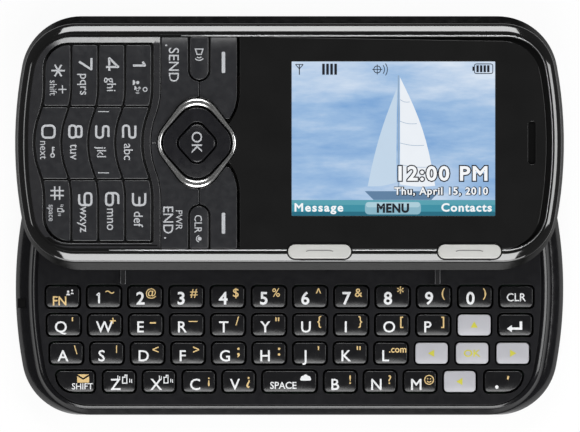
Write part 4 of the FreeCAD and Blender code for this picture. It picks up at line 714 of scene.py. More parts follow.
def make_nav_keys():
    """The four large keys round the ring, and the two round-ended ones between them."""
    gap, opening, start = 0.16, SLOT_HALF + 0.36, 13.1 + SLOT_HALF

    def slot_reach(y):
        """Half the width of the slot keys' opening at y."""
        away = abs(y)
        if away >= start:
            return opening
        if away <= start - opening:
            return 0
        return math.sqrt(max(opening ** 2 - (start - away) ** 2, 0))

    for label, side, hand in (("send_key", 1, -1), ("end_key", -1, -1),
                              ("soft_key_left", 1, 1), ("soft_key_right", -1, 1)):
        ring = ring_reach(gap, hand)

        def inner(y):
            reaches = [NAV_PARTING + hand * gap / 2]
            if abs(y) < 9.45:
                reaches.append(ring(y))
            if slot_reach(y):
                reaches.append(NAV_PARTING + hand * slot_reach(y))
            return max(reaches) if hand > 0 else min(reaches)
        left, right = ((number_edge(NAV_LEFT), inner) if hand < 0
                       else (inner, window_edge(NAV_RIGHT)))
        first = next(y for y in (k * 0.1 for k in range(220)) if right(y) - left(y) > 0.7)
        low, high = (first, NAV_OUTER) if side > 0 else (-NAV_OUTER, -first)
        line = soften(between(left, right, low, high, 0.2), 0.25, 50)
        form = slab(line, KEY_FOOT, key_surface, 0.12, spacing=0.9)
        piece(label + "_cap", label, form, FRONT_KEY, True, [label])
    for label, side in (("speaker_key", 1), ("clear_key", -1)):
        line = [(NAV_PARTING + SLOT_HALF, NAV_OUTER), (NAV_PARTING - SLOT_HALF, NAV_OUTER)]
        line += arc(NAV_PARTING, start, SLOT_HALF, 180, 360, 14)
        line = line if side > 0 else [(x, -y) for x, y in line][::-1]
        form = slab(soften(line, 0.25, 50), KEY_FOOT, slot_key_top(side), 0.14, spacing=0.6)
        piece(label + "_cap", label, form, FRONT_KEY, True, [label])


def slot_key_top(side):
    """The crowned top of the round-ended key above or below the ring."""
    return pillow(NAV_PARTING, side * 17.5, 2, 4.5, FACE, 0.22, 0.1)


def ok_top(x, y):
    """The centre key's top: it falls towards +Y, steeply at its end."""
    return FACE + 0.1 - 0.05 * ((x - NAV_X) / 4) ** 2 - 0.55 * max(0, (y + 1.5) / 5.7) ** 3


def pad_top(x, y):
    """The pad's top: a dome that falls towards -Y."""
    return FACE + 0.12 - 0.004 * (x - NAV_X) ** 2 - 0.72 * max(0, (0.5 - y) / 7.8) ** 2.2


def make_nav_ring():
    """The bright ring, a rounded hoop that is broader above and below."""
    rings = []
    for part in range(15):
        t = math.pi * (part / 14)
        share = (1 - math.cos(t)) / 2
        size = [o + (i - o) * share for o, i in zip(RING_OUTER, RING_INNER)]
        level = FACE - 0.1 + 0.5 * math.sin(t) ** 0.8
        rings.append([(x, y, level) for x, y in diamond(NAV_X, 0, *size)])
    rings += [[(x, y, RING_FOOT) for x, y in diamond(NAV_X, 0, *size)]
              for size in (RING_INNER, RING_OUTER)]
    piece("nav_ring", "slider", loft(rings, loop=True), RING, True, ["nav_trim_ring"])


def make_nav_pad():
    """The four-way pad and the centre key, both with a diamond outline."""
    shape, hole = diamond(NAV_X, 0, 7.05, 7.3, 4.2), diamond(NAV_X, 0, 4.16, 4.36, 2.06)
    centre = diamond(NAV_X, 0, 3.86, 4.06, 1.84)
    piece("nav_pad_cap", "nav_pad", slab(shape, 14.95, pad_top, 0.15, [hole], 0.6), PAD, True,
          ["nav_pad"])
    piece("ok_key_cap", "ok_key", slab(centre, KEY_FOOT, ok_top, 0.36, spacing=0.5), PAD, True,
          ["ok_key"])


def shoulder_top(x, y):
    """The level of the rim's shoulder along the phone's straight sides."""
    insets, drops = zip(*profile(SHOULDER_TILTS))
    return FACE - float(np.interp(HALF_WIDTH - SHOULDER_SIDE - abs(y), insets, drops))


def make_rim_keys():
    """The two silver soft keys on the rim, and the seals round them."""
    seals = [slab(rim_key_line(x, 0.3), FACE - 1.5, lambda x, y: shoulder_top(x, y) + 0.13, 0.04,
                  [rim_key_line(x, 0.03)]) for x in WIDE_KEY_XS]
    piece("rim_key_seals", "slider", joined(*seals), SEAL_AND_SHADE, True)
    for label, x in zip(("wide_soft_key_left", "wide_soft_key_right"), WIDE_KEY_XS):
        top = pillow(x, WIDE_KEY_Y, 6.5, 1.5, FACE + 0.15, 0.0, 0.12)
        form = slab(rim_key_line(x, 0), KEY_FOOT, top, 0.22, spacing=0.5)
        path = [(x - 2.8, WIDE_KEY_Y), (x - 2.2, WIDE_KEY_Y + 0.2), (x + 2.2, WIDE_KEY_Y + 0.2),
                (x + 2.8, WIDE_KEY_Y)]
        bar = ink(top, stroke(bent(path, 0.5), 0.16), lift=0.05)
        piece(label + "_cap", label, joined(form, bar), [PALE_CAP, KEY_LINE], True, [label])


# ------------------------------------------------------------------- the base

def make_camera_face():
    """The camera's bright ring and lens, which show in its window in the back."""
    marks = [[disc(*CAMERA, 2.5)[0], disc(*CAMERA, 2.1)[0][::-1]], disc(*CAMERA, 1.15),
             [disc(*CAMERA, 1.7)[0], disc(*CAMERA, 1.5)[0][::-1]]]
    piece("camera_face", "base", joined(*(ink(flat(0.05), mark) for mark in marks)),
          [TRIM, LENS, GREY_PRINT], sharp=30)


CAMERA = (45, -5.2)
ROW_NAMES = ("number_row", "top_letter_row", "middle_letter_row", "bottom_letter_row")
ROW_YS = (-1.75, -7.62, -13.49, -19.36)
ROW_REACHES = (47.15, 46.93, 46.4)
CURSOR_CAPS = {(1, 10): 90, (2, 9): 180, (2, 11): 0, (3, 7): 180, (2, 10): None}
CAP_HEIGHT, CAP_GAP = 4.35, 1.72


def row_places():
    """Each row's keys as (x, width)."""
    rows = []
    for reach in ROW_REACHES:
        pitch = 2 * reach / 11
        rows.append([(-reach + n * pitch, pitch - CAP_GAP) for n in range(12)])
    width = 24.85 / 3 - CAP_GAP
    last = [(x, width) for x in (-35.4, -27.117, -18.833, -10.55, 10.55, 18.833, 27.117, 35.4)]
    return rows + [last + [(0.0, 11.07), (-44.5, 7.8), (44.5, 7.8)]]


def cap_line(x, y, width, grow=0.0):
    """A cap's outline; the lower outer corners of the last row's ends are large."""
    radii = [0.8 + grow] * 4
    if abs(x) > 44.4 and width > 7:
        radii = [(0.9, 0.8, 0.8, 3.6), (0.8, 0.9, 3.6, 0.8)][x < 0]
        radii = [radius + grow for radius in radii]
        line = rounded(0, 0, width + 2 * grow, CAP_HEIGHT + 2 * grow, radii)
        return [(x + px, y + py) for px, py in line]
    return rounded(x, y, width + 2 * grow, CAP_HEIGHT + 2 * grow, radii)


def cap_top(x, y, width):
    """The crowned top of a letter key's cap."""
    def top(px, py):
        across, up = (px - x) / (width / 2), (py - y) / (CAP_HEIGHT / 2)
        return CAP_TOP - 0.07 * across ** 2 - (0.08 if up > 0 else 0.38) * up ** 2
    return top


SLOT_XS, SLOT_Y = (-34.6, 30.8), 11.95
# The deck's rim as rings: inset at the sides and the ends, corner radius and level.
DECK_SECTION = (
    (0, 0, 12.5, 5.0), (0.03, 0.05, 12.5, 5.15), (0.04, 1.3, 12.3, 6.1), (0.05, 2.25, 12.2, 6.85),
    (0.1, 2.4, 12.1, 6.9), (0.55, 2.9, 11.5, 7.35), (1.1, 3.2, 10.8, 7.86),
    (1.3, 3.3, 10.6, 8.06), (1.4, 3.4, 10.5, 8.14), (1.7, 3.8, 10.2, 8.3),
    (1.95, 4.2, 9.8, 8.43), (2.0, 4.28, 9.7, 8.42), (2.04, 4.36, 9.6, 8.2), (2.12, 4.6, 9.4, 8.2),
    (2.3, 4.64, 9.0, 8.2), (2.3, 4.64, 9.0, 7.6), (1.4, 1.4, 11.1, 5.0))


def make_deck():
    """The keyboard's deck: rim, face, the slots' lips, pale grey as painted highlight, with a
    painted glint at each slot's end, the slots' floors, the microphone's notch.
    """
    rings = [[(x, y, z) for x, y in case_line(side, end, corner)]
             for side, end, corner, z in DECK_SECTION]
    piece("deck_frame", "base", loft(rings, loop=True), BASE_GLOSS)

    holes = [cap_line(x, y, width, 0.4) for row, y in zip(row_places(), ROW_YS)
             for x, width in row]
    holes += [rounded(x, SLOT_Y, 1.0, 22.0, 0.12, 2) for x in SLOT_XS]
    plate = slab(case_line(2.14, 4.68, 9.2), DECK - 1.0, flat(DECK), 0.08, holes, 3.0)
    piece("deck_plate", "base", plate, DECK_PLASTIC, False, ["keyboard_deck"])

    # The slots' raised lips are pale grey: painted highlight along their edges.
    lip_highlights, ribs = [], []
    for x in SLOT_XS:
        hoop = [[(px, py, z) for px, py in rounded(x, SLOT_Y, 1.0 + grow, 22.0 + grow, 0.15, 2)]
                for grow, z in ((0.04, DECK - 0.3), (0.08, DECK + 0.02), (0.0, DECK + 0.03),
                                (-0.12, DECK - 0.02), (-0.12, DECK - 0.3))]
        lip_highlights.append(loft(hoop, loop=True))
        # A pale dot near the slot's lower end: a painted glint.
        lip_highlights.append(slab(rounded(x, 1.3, 0.62, 0.6, 0.25, 3), DECK - 0.6, flat(DECK), 0.08))
        ribs.append(slab(rounded(x, 12.0, 0.85, 21.7, 0.1, 1), DECK - 1.2, flat(DECK - 0.7), 0.03))
    piece("slot_lips_and_glints", "base", joined(*lip_highlights), SLOT_HIGHLIGHT_GREY)
    piece("slot_floors", "base", joined(*ribs), SEAL_AND_SHADE)

    def end_face(rise):
        return lambda x, y: 5.2 + 0.79 * (x + 56.98) + rise

    notch = [slab(rounded(-55.75, -3.1, 1.7, 1.75, 0.2, 3), 5.2, end_face(0.06), 0.05)]
    notch += [slab(rounded(-55.75, y, 1.85, 0.16, 0.07, 3), 5.2, end_face(0.1), 0.03)
              for y in (-2.2, -4.0)]
    piece("microphone_notch", "base", joined(*notch), SEAL_AND_SHADE)


def make_caps():
    """The keyboard's caps, a piece for each row and one for the silver cursor keys."""
    bright = []
    for number, (label, row, y) in enumerate(zip(ROW_NAMES, row_places(), ROW_YS)):
        dark = []
        for place, (x, width) in enumerate(row):
            form = slab(cap_line(x, y, width), 6.87, cap_top(x, y, width), 0.16, spacing=0.7)
            (bright if (number, place) in CURSOR_CAPS else dark).append(form)
        piece(label + "_caps", label, joined(*dark), LETTER_CAP, False, [label])
    piece("cursor_caps", "cursor_keys", joined(*bright), SILVER_CAP, False, ["cursor_keys"])


# ------------------------------------------------------------ printed marks

INK = 0.03              # how far printed marks stand above a surface


def text_outlines(text, spacing=1.0):
    """The outlines of a text as Blender draws it, counter-clockwise round its strokes."""
    font = bpy.data.curves.new("text", "FONT")
    font.body = text
    font.align_x = "CENTER"
    font.space_character = spacing
    font.resolution_u = 3
    thing = bpy.data.objects.new("text", font)
    mesh = bpy.data.meshes.new_from_object(thing)
    work = bmesh.new()
    work.from_mesh(mesh)
    bmesh.ops.remove_doubles(work, verts=work.verts, dist=1e-4)
    ahead = {}
    for face in work.faces:
        way = 1 if face.normal.z >= 0 else -1
        for loop in face.loops:
            if len(loop.edge.link_faces) == 1:
                ends = (loop.vert, loop.link_loop_next.vert)[::way]
                ahead.setdefault(ends[0].index, []).append(ends[1].index)
    spots = [(v.co.x, v.co.y) for v in work.verts]
    lines = []
    while ahead:
        start = next(iter(ahead))
        line, here = [], start
        while here in ahead:
            line.append(spots[here])
            there = ahead[here].pop()
            if not ahead[here]:
                del ahead[here]
            here = there
            if here == start:
                break
        lines.append(line)
    work.free()
    bpy.data.objects.remove(thing)
    bpy.data.curves.remove(font)
    bpy.data.meshes.remove(mesh)
    return [line for line in lines if len(line) > 2]


CAPITAL = max(p[1] for line in text_outlines("H") for p in line)


def printed(text, x, y, height, wide=1.0, turn=0, weight=0.0, align=0, least=0.0, spacing=1.0):
    """A text's outlines: its capitals' height, and how much bolder and wider it is drawn.

    Align -1 starts it at x and 1 ends it there; least is the least width it takes up.
    """
    size = height / CAPITAL
    lines = []
    for line in text_outlines(text, spacing):
        line = [(px * size * wide, (py - CAPITAL / 2) * size) for px, py in tidy(line, 1e-3)]
        lines.append(offset(line, -weight) if weight else line)
    xs = [p[0] for line in lines for p in line]
    middle, half = (min(xs) + max(xs)) / 2, max(max(xs) - min(xs), least) / 2
    shift = -middle - align * half
    return [turned([(px + shift, py) for px, py in line], x, y, turn) for line in lines]


def turned(points, x, y, turn=0, size=1.0):
    """Points drawn about the origin, sized, turned and moved to a place."""
    a = math.radians(turn)
    return [(x + size * (px * math.cos(a) - py * math.sin(a)),
             y + size * (px * math.sin(a) + py * math.cos(a))) for px, py in points]


def bent(points, radius, closed=False):
    """A path with its corners rounded."""
    points = [Vector(p) for p in points]
    path = []
    for n, here in enumerate(points):
        if not closed and n in (0, len(points) - 1):
            path.append(tuple(here))
            continue
        come, go = points[n - 1] - here, points[(n + 1) % len(points)] - here
        reach = min(radius, come.length * 0.49, go.length * 0.49)
        first, last = here + come.normalized() * reach, here + go.normalized() * reach
        for k in range(6):
            t = k / 5
            path.append(tuple((1 - t) ** 2 * first + 2 * t * (1 - t) * here + t * t * last))
    return path + [path[0]] if closed else path


def stroke(points, width):
    """The outline of a line of even width along a path; a closed path makes a ring."""
    if math.dist(points[0], points[-1]) < 1e-6:
        ring = tidy(points[:-1], 0.01)
        if area(ring) < 0:
            ring.reverse()
        return [offset(ring, -width / 2), offset(ring, width / 2)[::-1]]
    points = np.array([p for p in tidy(points, 0.01)])
    ways = np.diff(points, axis=0)
    ways /= np.linalg.norm(ways, axis=1)[:, None]
    sides = np.stack((-ways[:, 1], ways[:, 0]), 1)
    before, after = np.vstack((sides[:1], sides)), np.vstack((sides, sides[-1:]))
    lean = (before + after) / np.maximum(1 + (before * after).sum(1), 0.4)[:, None]
    left, right = points + lean * width / 2, points - lean * width / 2
    return [[tuple(p) for p in np.vstack((left, right[::-1]))]]


def disc(x, y, radius, steps=18):
    """A filled circle."""
    return [arc(x, y, radius, 0, 360, steps)[:-1]]


def dense(line, step):
    """The outline with points added so that none are further apart than a step."""
    result = []
    for (x1, y1), (x2, y2) in zip(line, line[1:] + line[:1]):
        count = max(1, math.ceil(math.hypot(x2 - x1, y2 - y1) / step))
        result += [(x1 + (x2 - x1) * k / count, y1 + (y2 - y1) * k / count)
                   for k in range(count)]
    return result


def area(line):
    """The area within an outline, below zero if it runs clockwise."""
    return sum(x1 * y2 - x2 * y1 for (x1, y1), (x2, y2) in zip(line, line[1:] + line[:1])) / 2


def apart(shape):
    """A shape's outlines sorted into solid ones, each with the holes inside it."""
    if len(shape) == 1:
        return [shape]
    groups = [[line] for line in shape if area(line) > 0]
    for line in shape:
        if area(line) <= 0:
            for group in groups:
                if inside(np.array(line[:1]), group[0])[0]:
                    group.append(line)
                    break
            else:
                groups.append([line[::-1]])
    return groups


def ink(surface, *shapes, lift=INK, step=0.45):
    """Thin printed marks that follow a surface; each shape is a list of outlines."""
    vertices, faces = [], []
    for number, lines in enumerate(group for shape in shapes for group in apart(shape)):
        lines = [dense(tidy(line, 0.004), step) for line in lines]
        spots, triangles = fill(lines, 0)
        high, low = lift + 0.005 * (number % 2), -INK - 0.005 * (number % 2)
        first, count = len(vertices), len(spots)
        vertices += [(x, y, surface(x, y) + high) for x, y in spots]
        vertices += [(x, y, surface(x, y) + low) for x, y in spots]
        faces += [tuple(first + n for n in face) for face in triangles]
        faces += [tuple(first + count + n for n in face[::-1]) for face in triangles]
        for line in lines:
            first, count = len(vertices), len(line)
            vertices += [(x, y, surface(x, y) + high) for x, y in line]
            vertices += [(x, y, surface(x, y) + low) for x, y in line]
            faces += [(first + n, first + count + n, first + count + (n + 1) % count,
                       first + (n + 1) % count) for n in range(count)]
    return vertices, faces


def cross(x, y, reach, width):
    """An upright cross."""
    return [stroke([(x - a * reach, y - b * reach), (x + a * reach, y + b * reach)], width)
            for a, b in ((1, 0), (0, 1))]


def people(x, y, size, turn=0):
    """Two small heads with shoulders."""
    shapes = []
    for px, py, r in ((-0.3, 0.1, 0.2), (0.36, 0.3, 0.16)):
        shapes.append([turned(arc(px, py, r, 0, 360, 12)[:-1], x, y, turn, size)])
        shapes.append([turned(arc(px, py - 0.6, r * 1.6, 0, 180, 8), x, y, turn, size)])
    return shapes


def key_mark(x, y, size, turn=0):
    """A small key."""
    return [stroke(turned(arc(-0.3, 0, 0.2, 0, 360, 14), x, y, turn, size), 0.13 * size),
            stroke(turned([(-0.1, 0), (0.55, 0), (0.55, -0.22)], x, y, turn, size), 0.14 * size),
            stroke(turned([(0.3, 0), (0.3, -0.2)], x, y, turn, size), 0.12 * size)]


def sound(x, y, size, turn=0):
    """A small loudspeaker with two sound waves."""
    cone = turned([(-0.62, -0.36), (-0.62, 0.36), (-0.12, 0.2), (-0.12, -0.2), (-0.62, -0.36)],
                  x, y, turn, size)
    shapes = [stroke(cone, 0.1 * size)]
    for r in (0.26, 0.5):
        shapes.append(stroke(turned(arc(-0.05, 0, r, -50, 50, 6), x, y, turn, size), 0.1 * size))
    return shapes


def silent(x, y, size, turn=0):
    """A small hand-set between two strokes, for silent mode."""
    body = turned([(-0.2, -0.42), (0.24, -0.42), (0.24, 0.42), (0.05, 0.42), (0.05, 0.2),
                   (-0.2, 0.2), (-0.2, -0.42)], x, y, turn, size)
    shapes = [stroke(body, 0.11 * size)]
    for px, py in ((-0.5, 0.1), (0.54, -0.15), (-0.7, 0.18), (0.74, -0.2)):
        line = turned([(px, py - 0.2), (px, py + 0.2)], x, y, turn, size)
        shapes.append(stroke(line, 0.09 * size))
    return shapes


def letter_case(x, y):
    """A closed envelope: its body and its flap with the line between them left open."""
    return [[[(x - 1.25, y - 0.88), (x + 1.25, y - 0.88), (x + 1.25, y + 0.45), (x, y - 0.3),
              (x - 1.25, y + 0.45)]],
            [[(x - 1.2, y + 0.85), (x, y + 0.08), (x + 1.2, y + 0.85)]]]


def smile(x, y):
    """A plain smiling face."""
    return [stroke(arc(x, y, 0.92, 0, 360, 24), 0.2), disc(x - 0.3, y + 0.22, 0.13),
            disc(x + 0.3, y + 0.22, 0.13), stroke(arc(x, y, 0.48, 205, 335, 8), 0.18)]


# The number keys' figures as paths in a square; the sign before each tells whether it closes.
FIGURES = {
    "0": [(True, ((0, 0), (1, 0), (1, 1), (0, 1)))],
    "1": [(False, ((0.3, 0.78), (0.62, 1), (0.62, 0)))],
    "2": [(False, ((0, 1), (1, 1), (1, 0.52), (0, 0.48), (0, 0), (1, 0)))],
    "3": [(False, ((0, 1), (1, 1), (1, 0), (0, 0))), (False, ((0.3, 0.52), (1, 0.52)))],
    "4": [(False, ((0.74, 0), (0.74, 1), (0, 0.26), (0.62, 0.26))),
          (False, ((0.8, 0.26), (1.05, 0.26)))],
    "5": [(False, ((0.95, 1), (0.05, 1), (0.05, 0.56), (1, 0.56), (1, 0), (0, 0)))],
    "6": [(True, ((0, 0), (1, 0), (1, 0.56), (0, 0.56))), (False, ((0, 0.3), (0, 1), (0.9, 1)))],
    "7": [(False, ((0, 1), (0.95, 1), (0.3, 0)))],
    "8": [(True, ((0, 0), (1, 0), (1, 0.54), (0, 0.54))),
          (True, ((0.05, 0.54), (0.95, 0.54), (0.95, 1), (0.05, 1)))],
    "9": [(True, ((0, 0.44), (1, 0.44), (1, 1), (0, 1))), (False, ((1, 0.7), (1, 0), (0.1, 0)))],
}


def figure(digit, x, y, width, height, turn=-90, weight=0.45):
    """A wide, square figure made of strokes."""
    shapes = []
    for closed, path in FIGURES[digit]:
        path = [((px - 0.5) * (width - weight), (py - 0.5) * (height - weight)) for px, py in path]
        radius = 0.12 if digit in "147" else 0.85
        shapes.append(stroke(turned(bent(path, radius, closed), x, y, turn), weight))
    return shapes


# ----------------------------------------------------------- the front legends

def number_middles():
    """The middles of the number keys; those of the middle row are swung out."""
    return {label: (NUMBER_EDGE - (column + 0.5) * NUMBER_PITCH - (2.05 if row == 1 else 0),
                    (row - 1) * 14.0)
            for column, labels in enumerate(NUMBER_KEYS) for row, label in enumerate(labels)}


KEY_WORDS = {"key_2": "abc", "key_3": "def", "key_4": "ghi", "key_5": "jkl", "key_6": "mno",
             "key_7": "pqrs", "key_8": "tuv", "key_9": "wxyz"}


def make_front_legends():
    """The front keys' marks; they are read with +X at the top."""
    marks, middles = {}, number_middles()
    for label, (x, y) in middles.items():
        if label[-1].isdigit():
            marks[label] = figure(label[-1], x + 0.1, y + 2.35, 2.95, 3.0)
        if label in KEY_WORDS:
            word = printed(KEY_WORDS[label], x - 0.05, y - 1.85, 1.85, 0.95, -90, 0.01)
            marks[label].append(word)
    x, y = middles["key_1"]
    marks["key_1"] += people(x - 0.35, y - 2.0, 1.7, -90) + sound(x - 0.2, y - 3.3, 1.0, -90)
    marks["key_1"].append(stroke(arc(x + 1.35, y - 2.9, 0.42, 0, 360, 12), 0.2))
    x, y = middles["key_0"]
    marks["key_0"] += key_mark(x + 0.95, y - 2.0, 1.9, 90)
    marks["key_0"].append(printed("next", x - 0.85, y - 1.5, 1.55, 0.95, -90, 0.005))
    x, y = middles["key_5"]
    marks["key_5"] += [stroke([(x - 0.8, end), (x + 1.5, end)], 0.17) for end in (6.5, -6.2)]
    x, y = middles["key_star"]
    marks["key_star"] = [stroke(turned([(-1.4, 0), (1.4, 0)], x + 0.05, y + 1.0, turn), 0.34)
                         for turn in (0, 60, 120)]
    marks["key_star"] += cross(x + 0.95, y - 2.9, 0.85, 0.24)
    marks["key_star"].append(printed("shift", x - 0.95, y - 2.6, 1.45, 0.9, -90))
    x, y = middles["key_hash"]
    mx, my = x - 0.15, y + 3.6
    marks["key_hash"] = [
        stroke([(mx + 1.4 * a - way * 0.5 * b, my + way * 0.5 * a + 1.4 * b),
                (mx - 1.4 * a - way * 0.5 * b, my + way * 0.5 * a - 1.4 * b)], 0.3)
        for way in (1, -1) for a, b in ((1, 0), (0, 1))]
    marks["key_hash"].append(printed("space", x - 1.3, y - 0.5, 1.2, 0.9, -90))
    marks["key_hash"] += silent(x + 0.6, y + 0.1, 1.5, -90)
    marks["send_key"] = [printed("SEND", -23.98, 16.2, 2.05, 0.97, -90, 0.01),
                         stroke([(-25.75, 20.25), (-25.35, 20.25)], 0.28)]
    marks["end_key"] = [printed("END", -25.15, -16.0, 2.05, 0.97, -90, 0.01),
                        printed("PWR", -22.9, -16.0, 1.35, 0.97, -90),
                        stroke([(-26.0, -19.7), (-25.6, -19.7)], 0.28)]
    marks["soft_key_left"] = [[rounded(-13.7, 16.7, 0.73, 4.4, 0.22, 3)]]
    marks["soft_key_right"] = [[rounded(-13.7, -16.65, 0.73, 4.35, 0.22, 3)]]
    for label, shapes in marks.items():
        piece(label + "_legend", label, ink(key_surface, *shapes), GREY_PRINT, True, sharp=30)

    x, y = NAV_PARTING, -19.85
    for label, top, shapes in (
            ("speaker_key", slot_key_top(1), sound(x, 18.1, 2.2, -90)),
            ("clear_key", slot_key_top(-1), [
                printed("CLR", x - 0.2, -16.8, 1.5, 0.95, -90, 0.01), disc(x + 0.1, y, 0.4),
                stroke(arc(x + 0.1, y, 0.68, 100, 260, 7), 0.17)]),
            ("ok_key", ok_top, [printed("OK", NAV_X, 0.1, 2.1, 1.0, -90, 0.01)])):
        piece(label + "_legend", label, ink(top, *shapes), GREY_PRINT, True)


# ---------------------------------------------------------- the deck's legends

MAIN_MARKS = ("_1234567890", "QWERTYUIOP", "ASDFGHJKL", "ZXCVBNM")
OTHER_MARKS = ("_~@#$%^&*()", "'+-_/\"{}[]", "\\|<>;:'\"", "__¡¿!?")
MAIN_DROPS = (-0.3, -0.38, -0.52, -0.6)
OTHER_RISES = (0.88, 0.85, 0.74, 0.4)
MARK_HEIGHTS = {"@": 1.55, "%": 1.7, "+": 1.7, "*": 2.3, ":": 2.3, ";": 2.3, "¿": 2.2}
LINE_MARKS = {"-": ((-1.5, -0.4), (-0.2, -0.4), 0.3), "_": ((-1.95, -0.1), (-0.1, -0.1), 0.2),
              "|": ((-0.3, 0.9), (-0.3, -0.65), 0.2)}
QUOTES = {"'": (0.5,), '"': (0.85, 0.3)}


def other_mark(sign, x, y):
    """A small second mark that ends at x."""
    if sign in LINE_MARKS:
        *path, width = LINE_MARKS[sign]
        return stroke([(x + px, y + py) for px, py in path], width)
    if sign == "~":
        wavy = [(x - 2.0 + 1.8 * k / 12, y + 0.22 * math.sin(2 * math.pi * k / 12) + 0.1)
                for k in range(13)]
        return stroke(wavy, 0.25)
    if sign in QUOTES:
        return [stroke([(x - shift, y + 0.75), (x - shift, y + 0.75 - 0.8)], 0.27)[0]
                for shift in QUOTES[sign]]
    weight = 0.05 if sign in ":;" else 0.02
    return printed(sign, x, y, MARK_HEIGHTS.get(sign, 1.75), 1.0, 0, weight, 1, 0.5)


def make_letter_legends():
    """The keyboard's marks: the main one of each cap in white, the second in gold."""
    for number, (label, row, y) in enumerate(zip(ROW_NAMES, row_places(), ROW_YS)):
        tall, weight = (2.5, 0.075) if number == 0 else (2.25, 0.035)
        white, gold = special_legends(number, y, row)
        for place, (x, width) in enumerate(row):
            top = cap_top(x, y, width)
            main, other = [marks[number][place] if place < len(marks[number]) else "_"
                           for marks in (MAIN_MARKS, OTHER_MARKS)]
            if main == "1":
                white.append(ink(top, *figure("1", x - 1.2, y - 0.3, 1.9, 2.5, 0, 0.4)))
            elif main != "_":
                white.append(ink(top, printed(main, x - 1.85, y + MAIN_DROPS[number], tall, 1.0, 0,
                                              weight, -1, 1.5)))
            if other != "_" or (number, place) == (1, 3):
                gold.append(ink(top, other_mark(other, x + 2.3, y + OTHER_RISES[number])))
        form = joined(joined(*white)[:2], joined(*gold)[:2])
        piece(label + "_legends", label, form, [WHITE_PRINT, GOLD_PRINT], sharp=30)


def special_legends(number, y, row):
    """The marks of a row that aren't one letter each: white ones, then gold ones."""
    tops = [cap_top(x, y, width) for x, width in row]
    if number == 0:
        x, last = row[0][0], row[11][0]
        return ([ink(tops[0], *people(x + 1.5, y + 0.95, 1.25)),
                 ink(tops[11], printed("CLR", last, y - 0.1, 1.6, 0.95, 0, 0.02))],
                [ink(tops[0], printed("FN", x - 0.65, y - 0.85, 1.85, 0.92, 0, 0.03))])
    if number == 1:
        x = row[11][0]
        arrow = [(x - 1.75, y - 0.75), (x - 0.7, y), (x - 0.7, y - 0.5), (x + 0.9, y - 0.5),
                 (x + 0.9, y + 0.75), (x + 1.45, y + 0.75), (x + 1.45, y - 1.0),
                 (x - 0.7, y - 1.0), (x - 0.7, y - 1.5)]
        return [ink(tops[11], [arrow])], []
    if number == 2:
        x = row[8][0]
        return [], [ink(tops[8], printed(".com", x + 1.4, y + 0.85, 1.35, 0.95, 0, 0.03))]
    space, shift, dot = 8, 9, 10
    x, sx, dx = 0.0, row[shift][0], row[dot][0]
    cloud = [disc(x + 2.75, y + 0.75, 0.42), disc(x + 3.35, y + 0.98, 0.5),
             disc(x + 3.95, y + 0.75, 0.42), [rounded(x + 3.35, y + 0.5, 2.3, 0.62, 0.3, 4)]]
    white = [ink(tops[0], *silent(row[0][0] + 1.1, y + 0.5, 2.0)),
             ink(tops[1], *silent(row[1][0] + 1.4, y + 0.5, 1.9)),
             ink(tops[space], printed("SPACE", x - 1.3, y - 0.8, 1.4, 0.95, 0, 0.025), *cloud),
             ink(tops[shift], printed("SHIFT", sx + 1.45, y - 1.0, 1.25, 0.97, 0, 0.012)),
             ink(tops[dot], disc(dx - 1.4, y - 1.15, 0.36))]
    gold = [ink(tops[shift], *letter_case(sx + 1.6, y + 0.65)),
            ink(tops[6], *smile(row[6][0] + 1.9, y + 0.35)),
            ink(tops[dot], stroke([(dx + 1.0, y + 1.15), (dx + 0.85, y + 0.45)], 0.36))]
    return white, gold


def make_cursor_legends():
    """The arrows and the word on the silver caps of the keyboard."""
    forms = []
    for (number, place), turn in CURSOR_CAPS.items():
        (x, width), y = row_places()[number][place], ROW_YS[number]
        mark = (printed("OK", x, y, 1.4, 1.15, 0, 0.03) if turn is None
                else [turned([(0.75, 0), (-0.55, 0.75), (-0.55, -0.75)], x, y, turn)])
        forms.append(ink(cap_top(x, y, width), mark))
    piece("cursor_legends", "cursor_keys", joined(*forms), LIME_PRINT, sharp=30)


# ----------------------------------------------------------------- the screen

def clouds(tree, place):
    """The wallpaper: pale clouds in bands over blue, made from stretched noise."""
    drawn_out = add(tree, "ShaderNodeMapping", {
        "Vector": place, "Scale": (45, 170, 0), "Rotation": (0, 0, math.radians(-5))})["Vector"]
    billows = add(tree, "ShaderNodeTexNoise", {
        "Vector": drawn_out, "Scale": 1.0, "Detail": 6, "Roughness": 0.6})["Fac"]
    # the sky is palest at the top and deepest in the middle
    middle = SCREEN_Y + UPPER_Y
    height = add(tree, "ShaderNodeMapRange", {
        "Value": add(tree, "ShaderNodeSeparateXYZ", {"Vector": place})["Y"],
        "From Min": (middle - SCREEN_WIDTH / 2) * MM,
        "From Max": (middle + SCREEN_WIDTH / 2) * MM})["Result"]
    bands = ramp(tree, height, *((position, [level] * 3) for position, level in (
        (0.0, 0.2), (0.3, 0.14), (0.55, 0.02), (0.72, 0.12), (0.82, 0.26), (1.0, 0.34))))
    total = add(tree, "ShaderNodeMath", {0: billows, 1: bands})[0]
    return ramp(tree, total, (0.34, (0.13, 0.31, 0.62)), (0.62, (0.33, 0.5, 0.74)),
                (0.95, (0.72, 0.8, 0.9)))


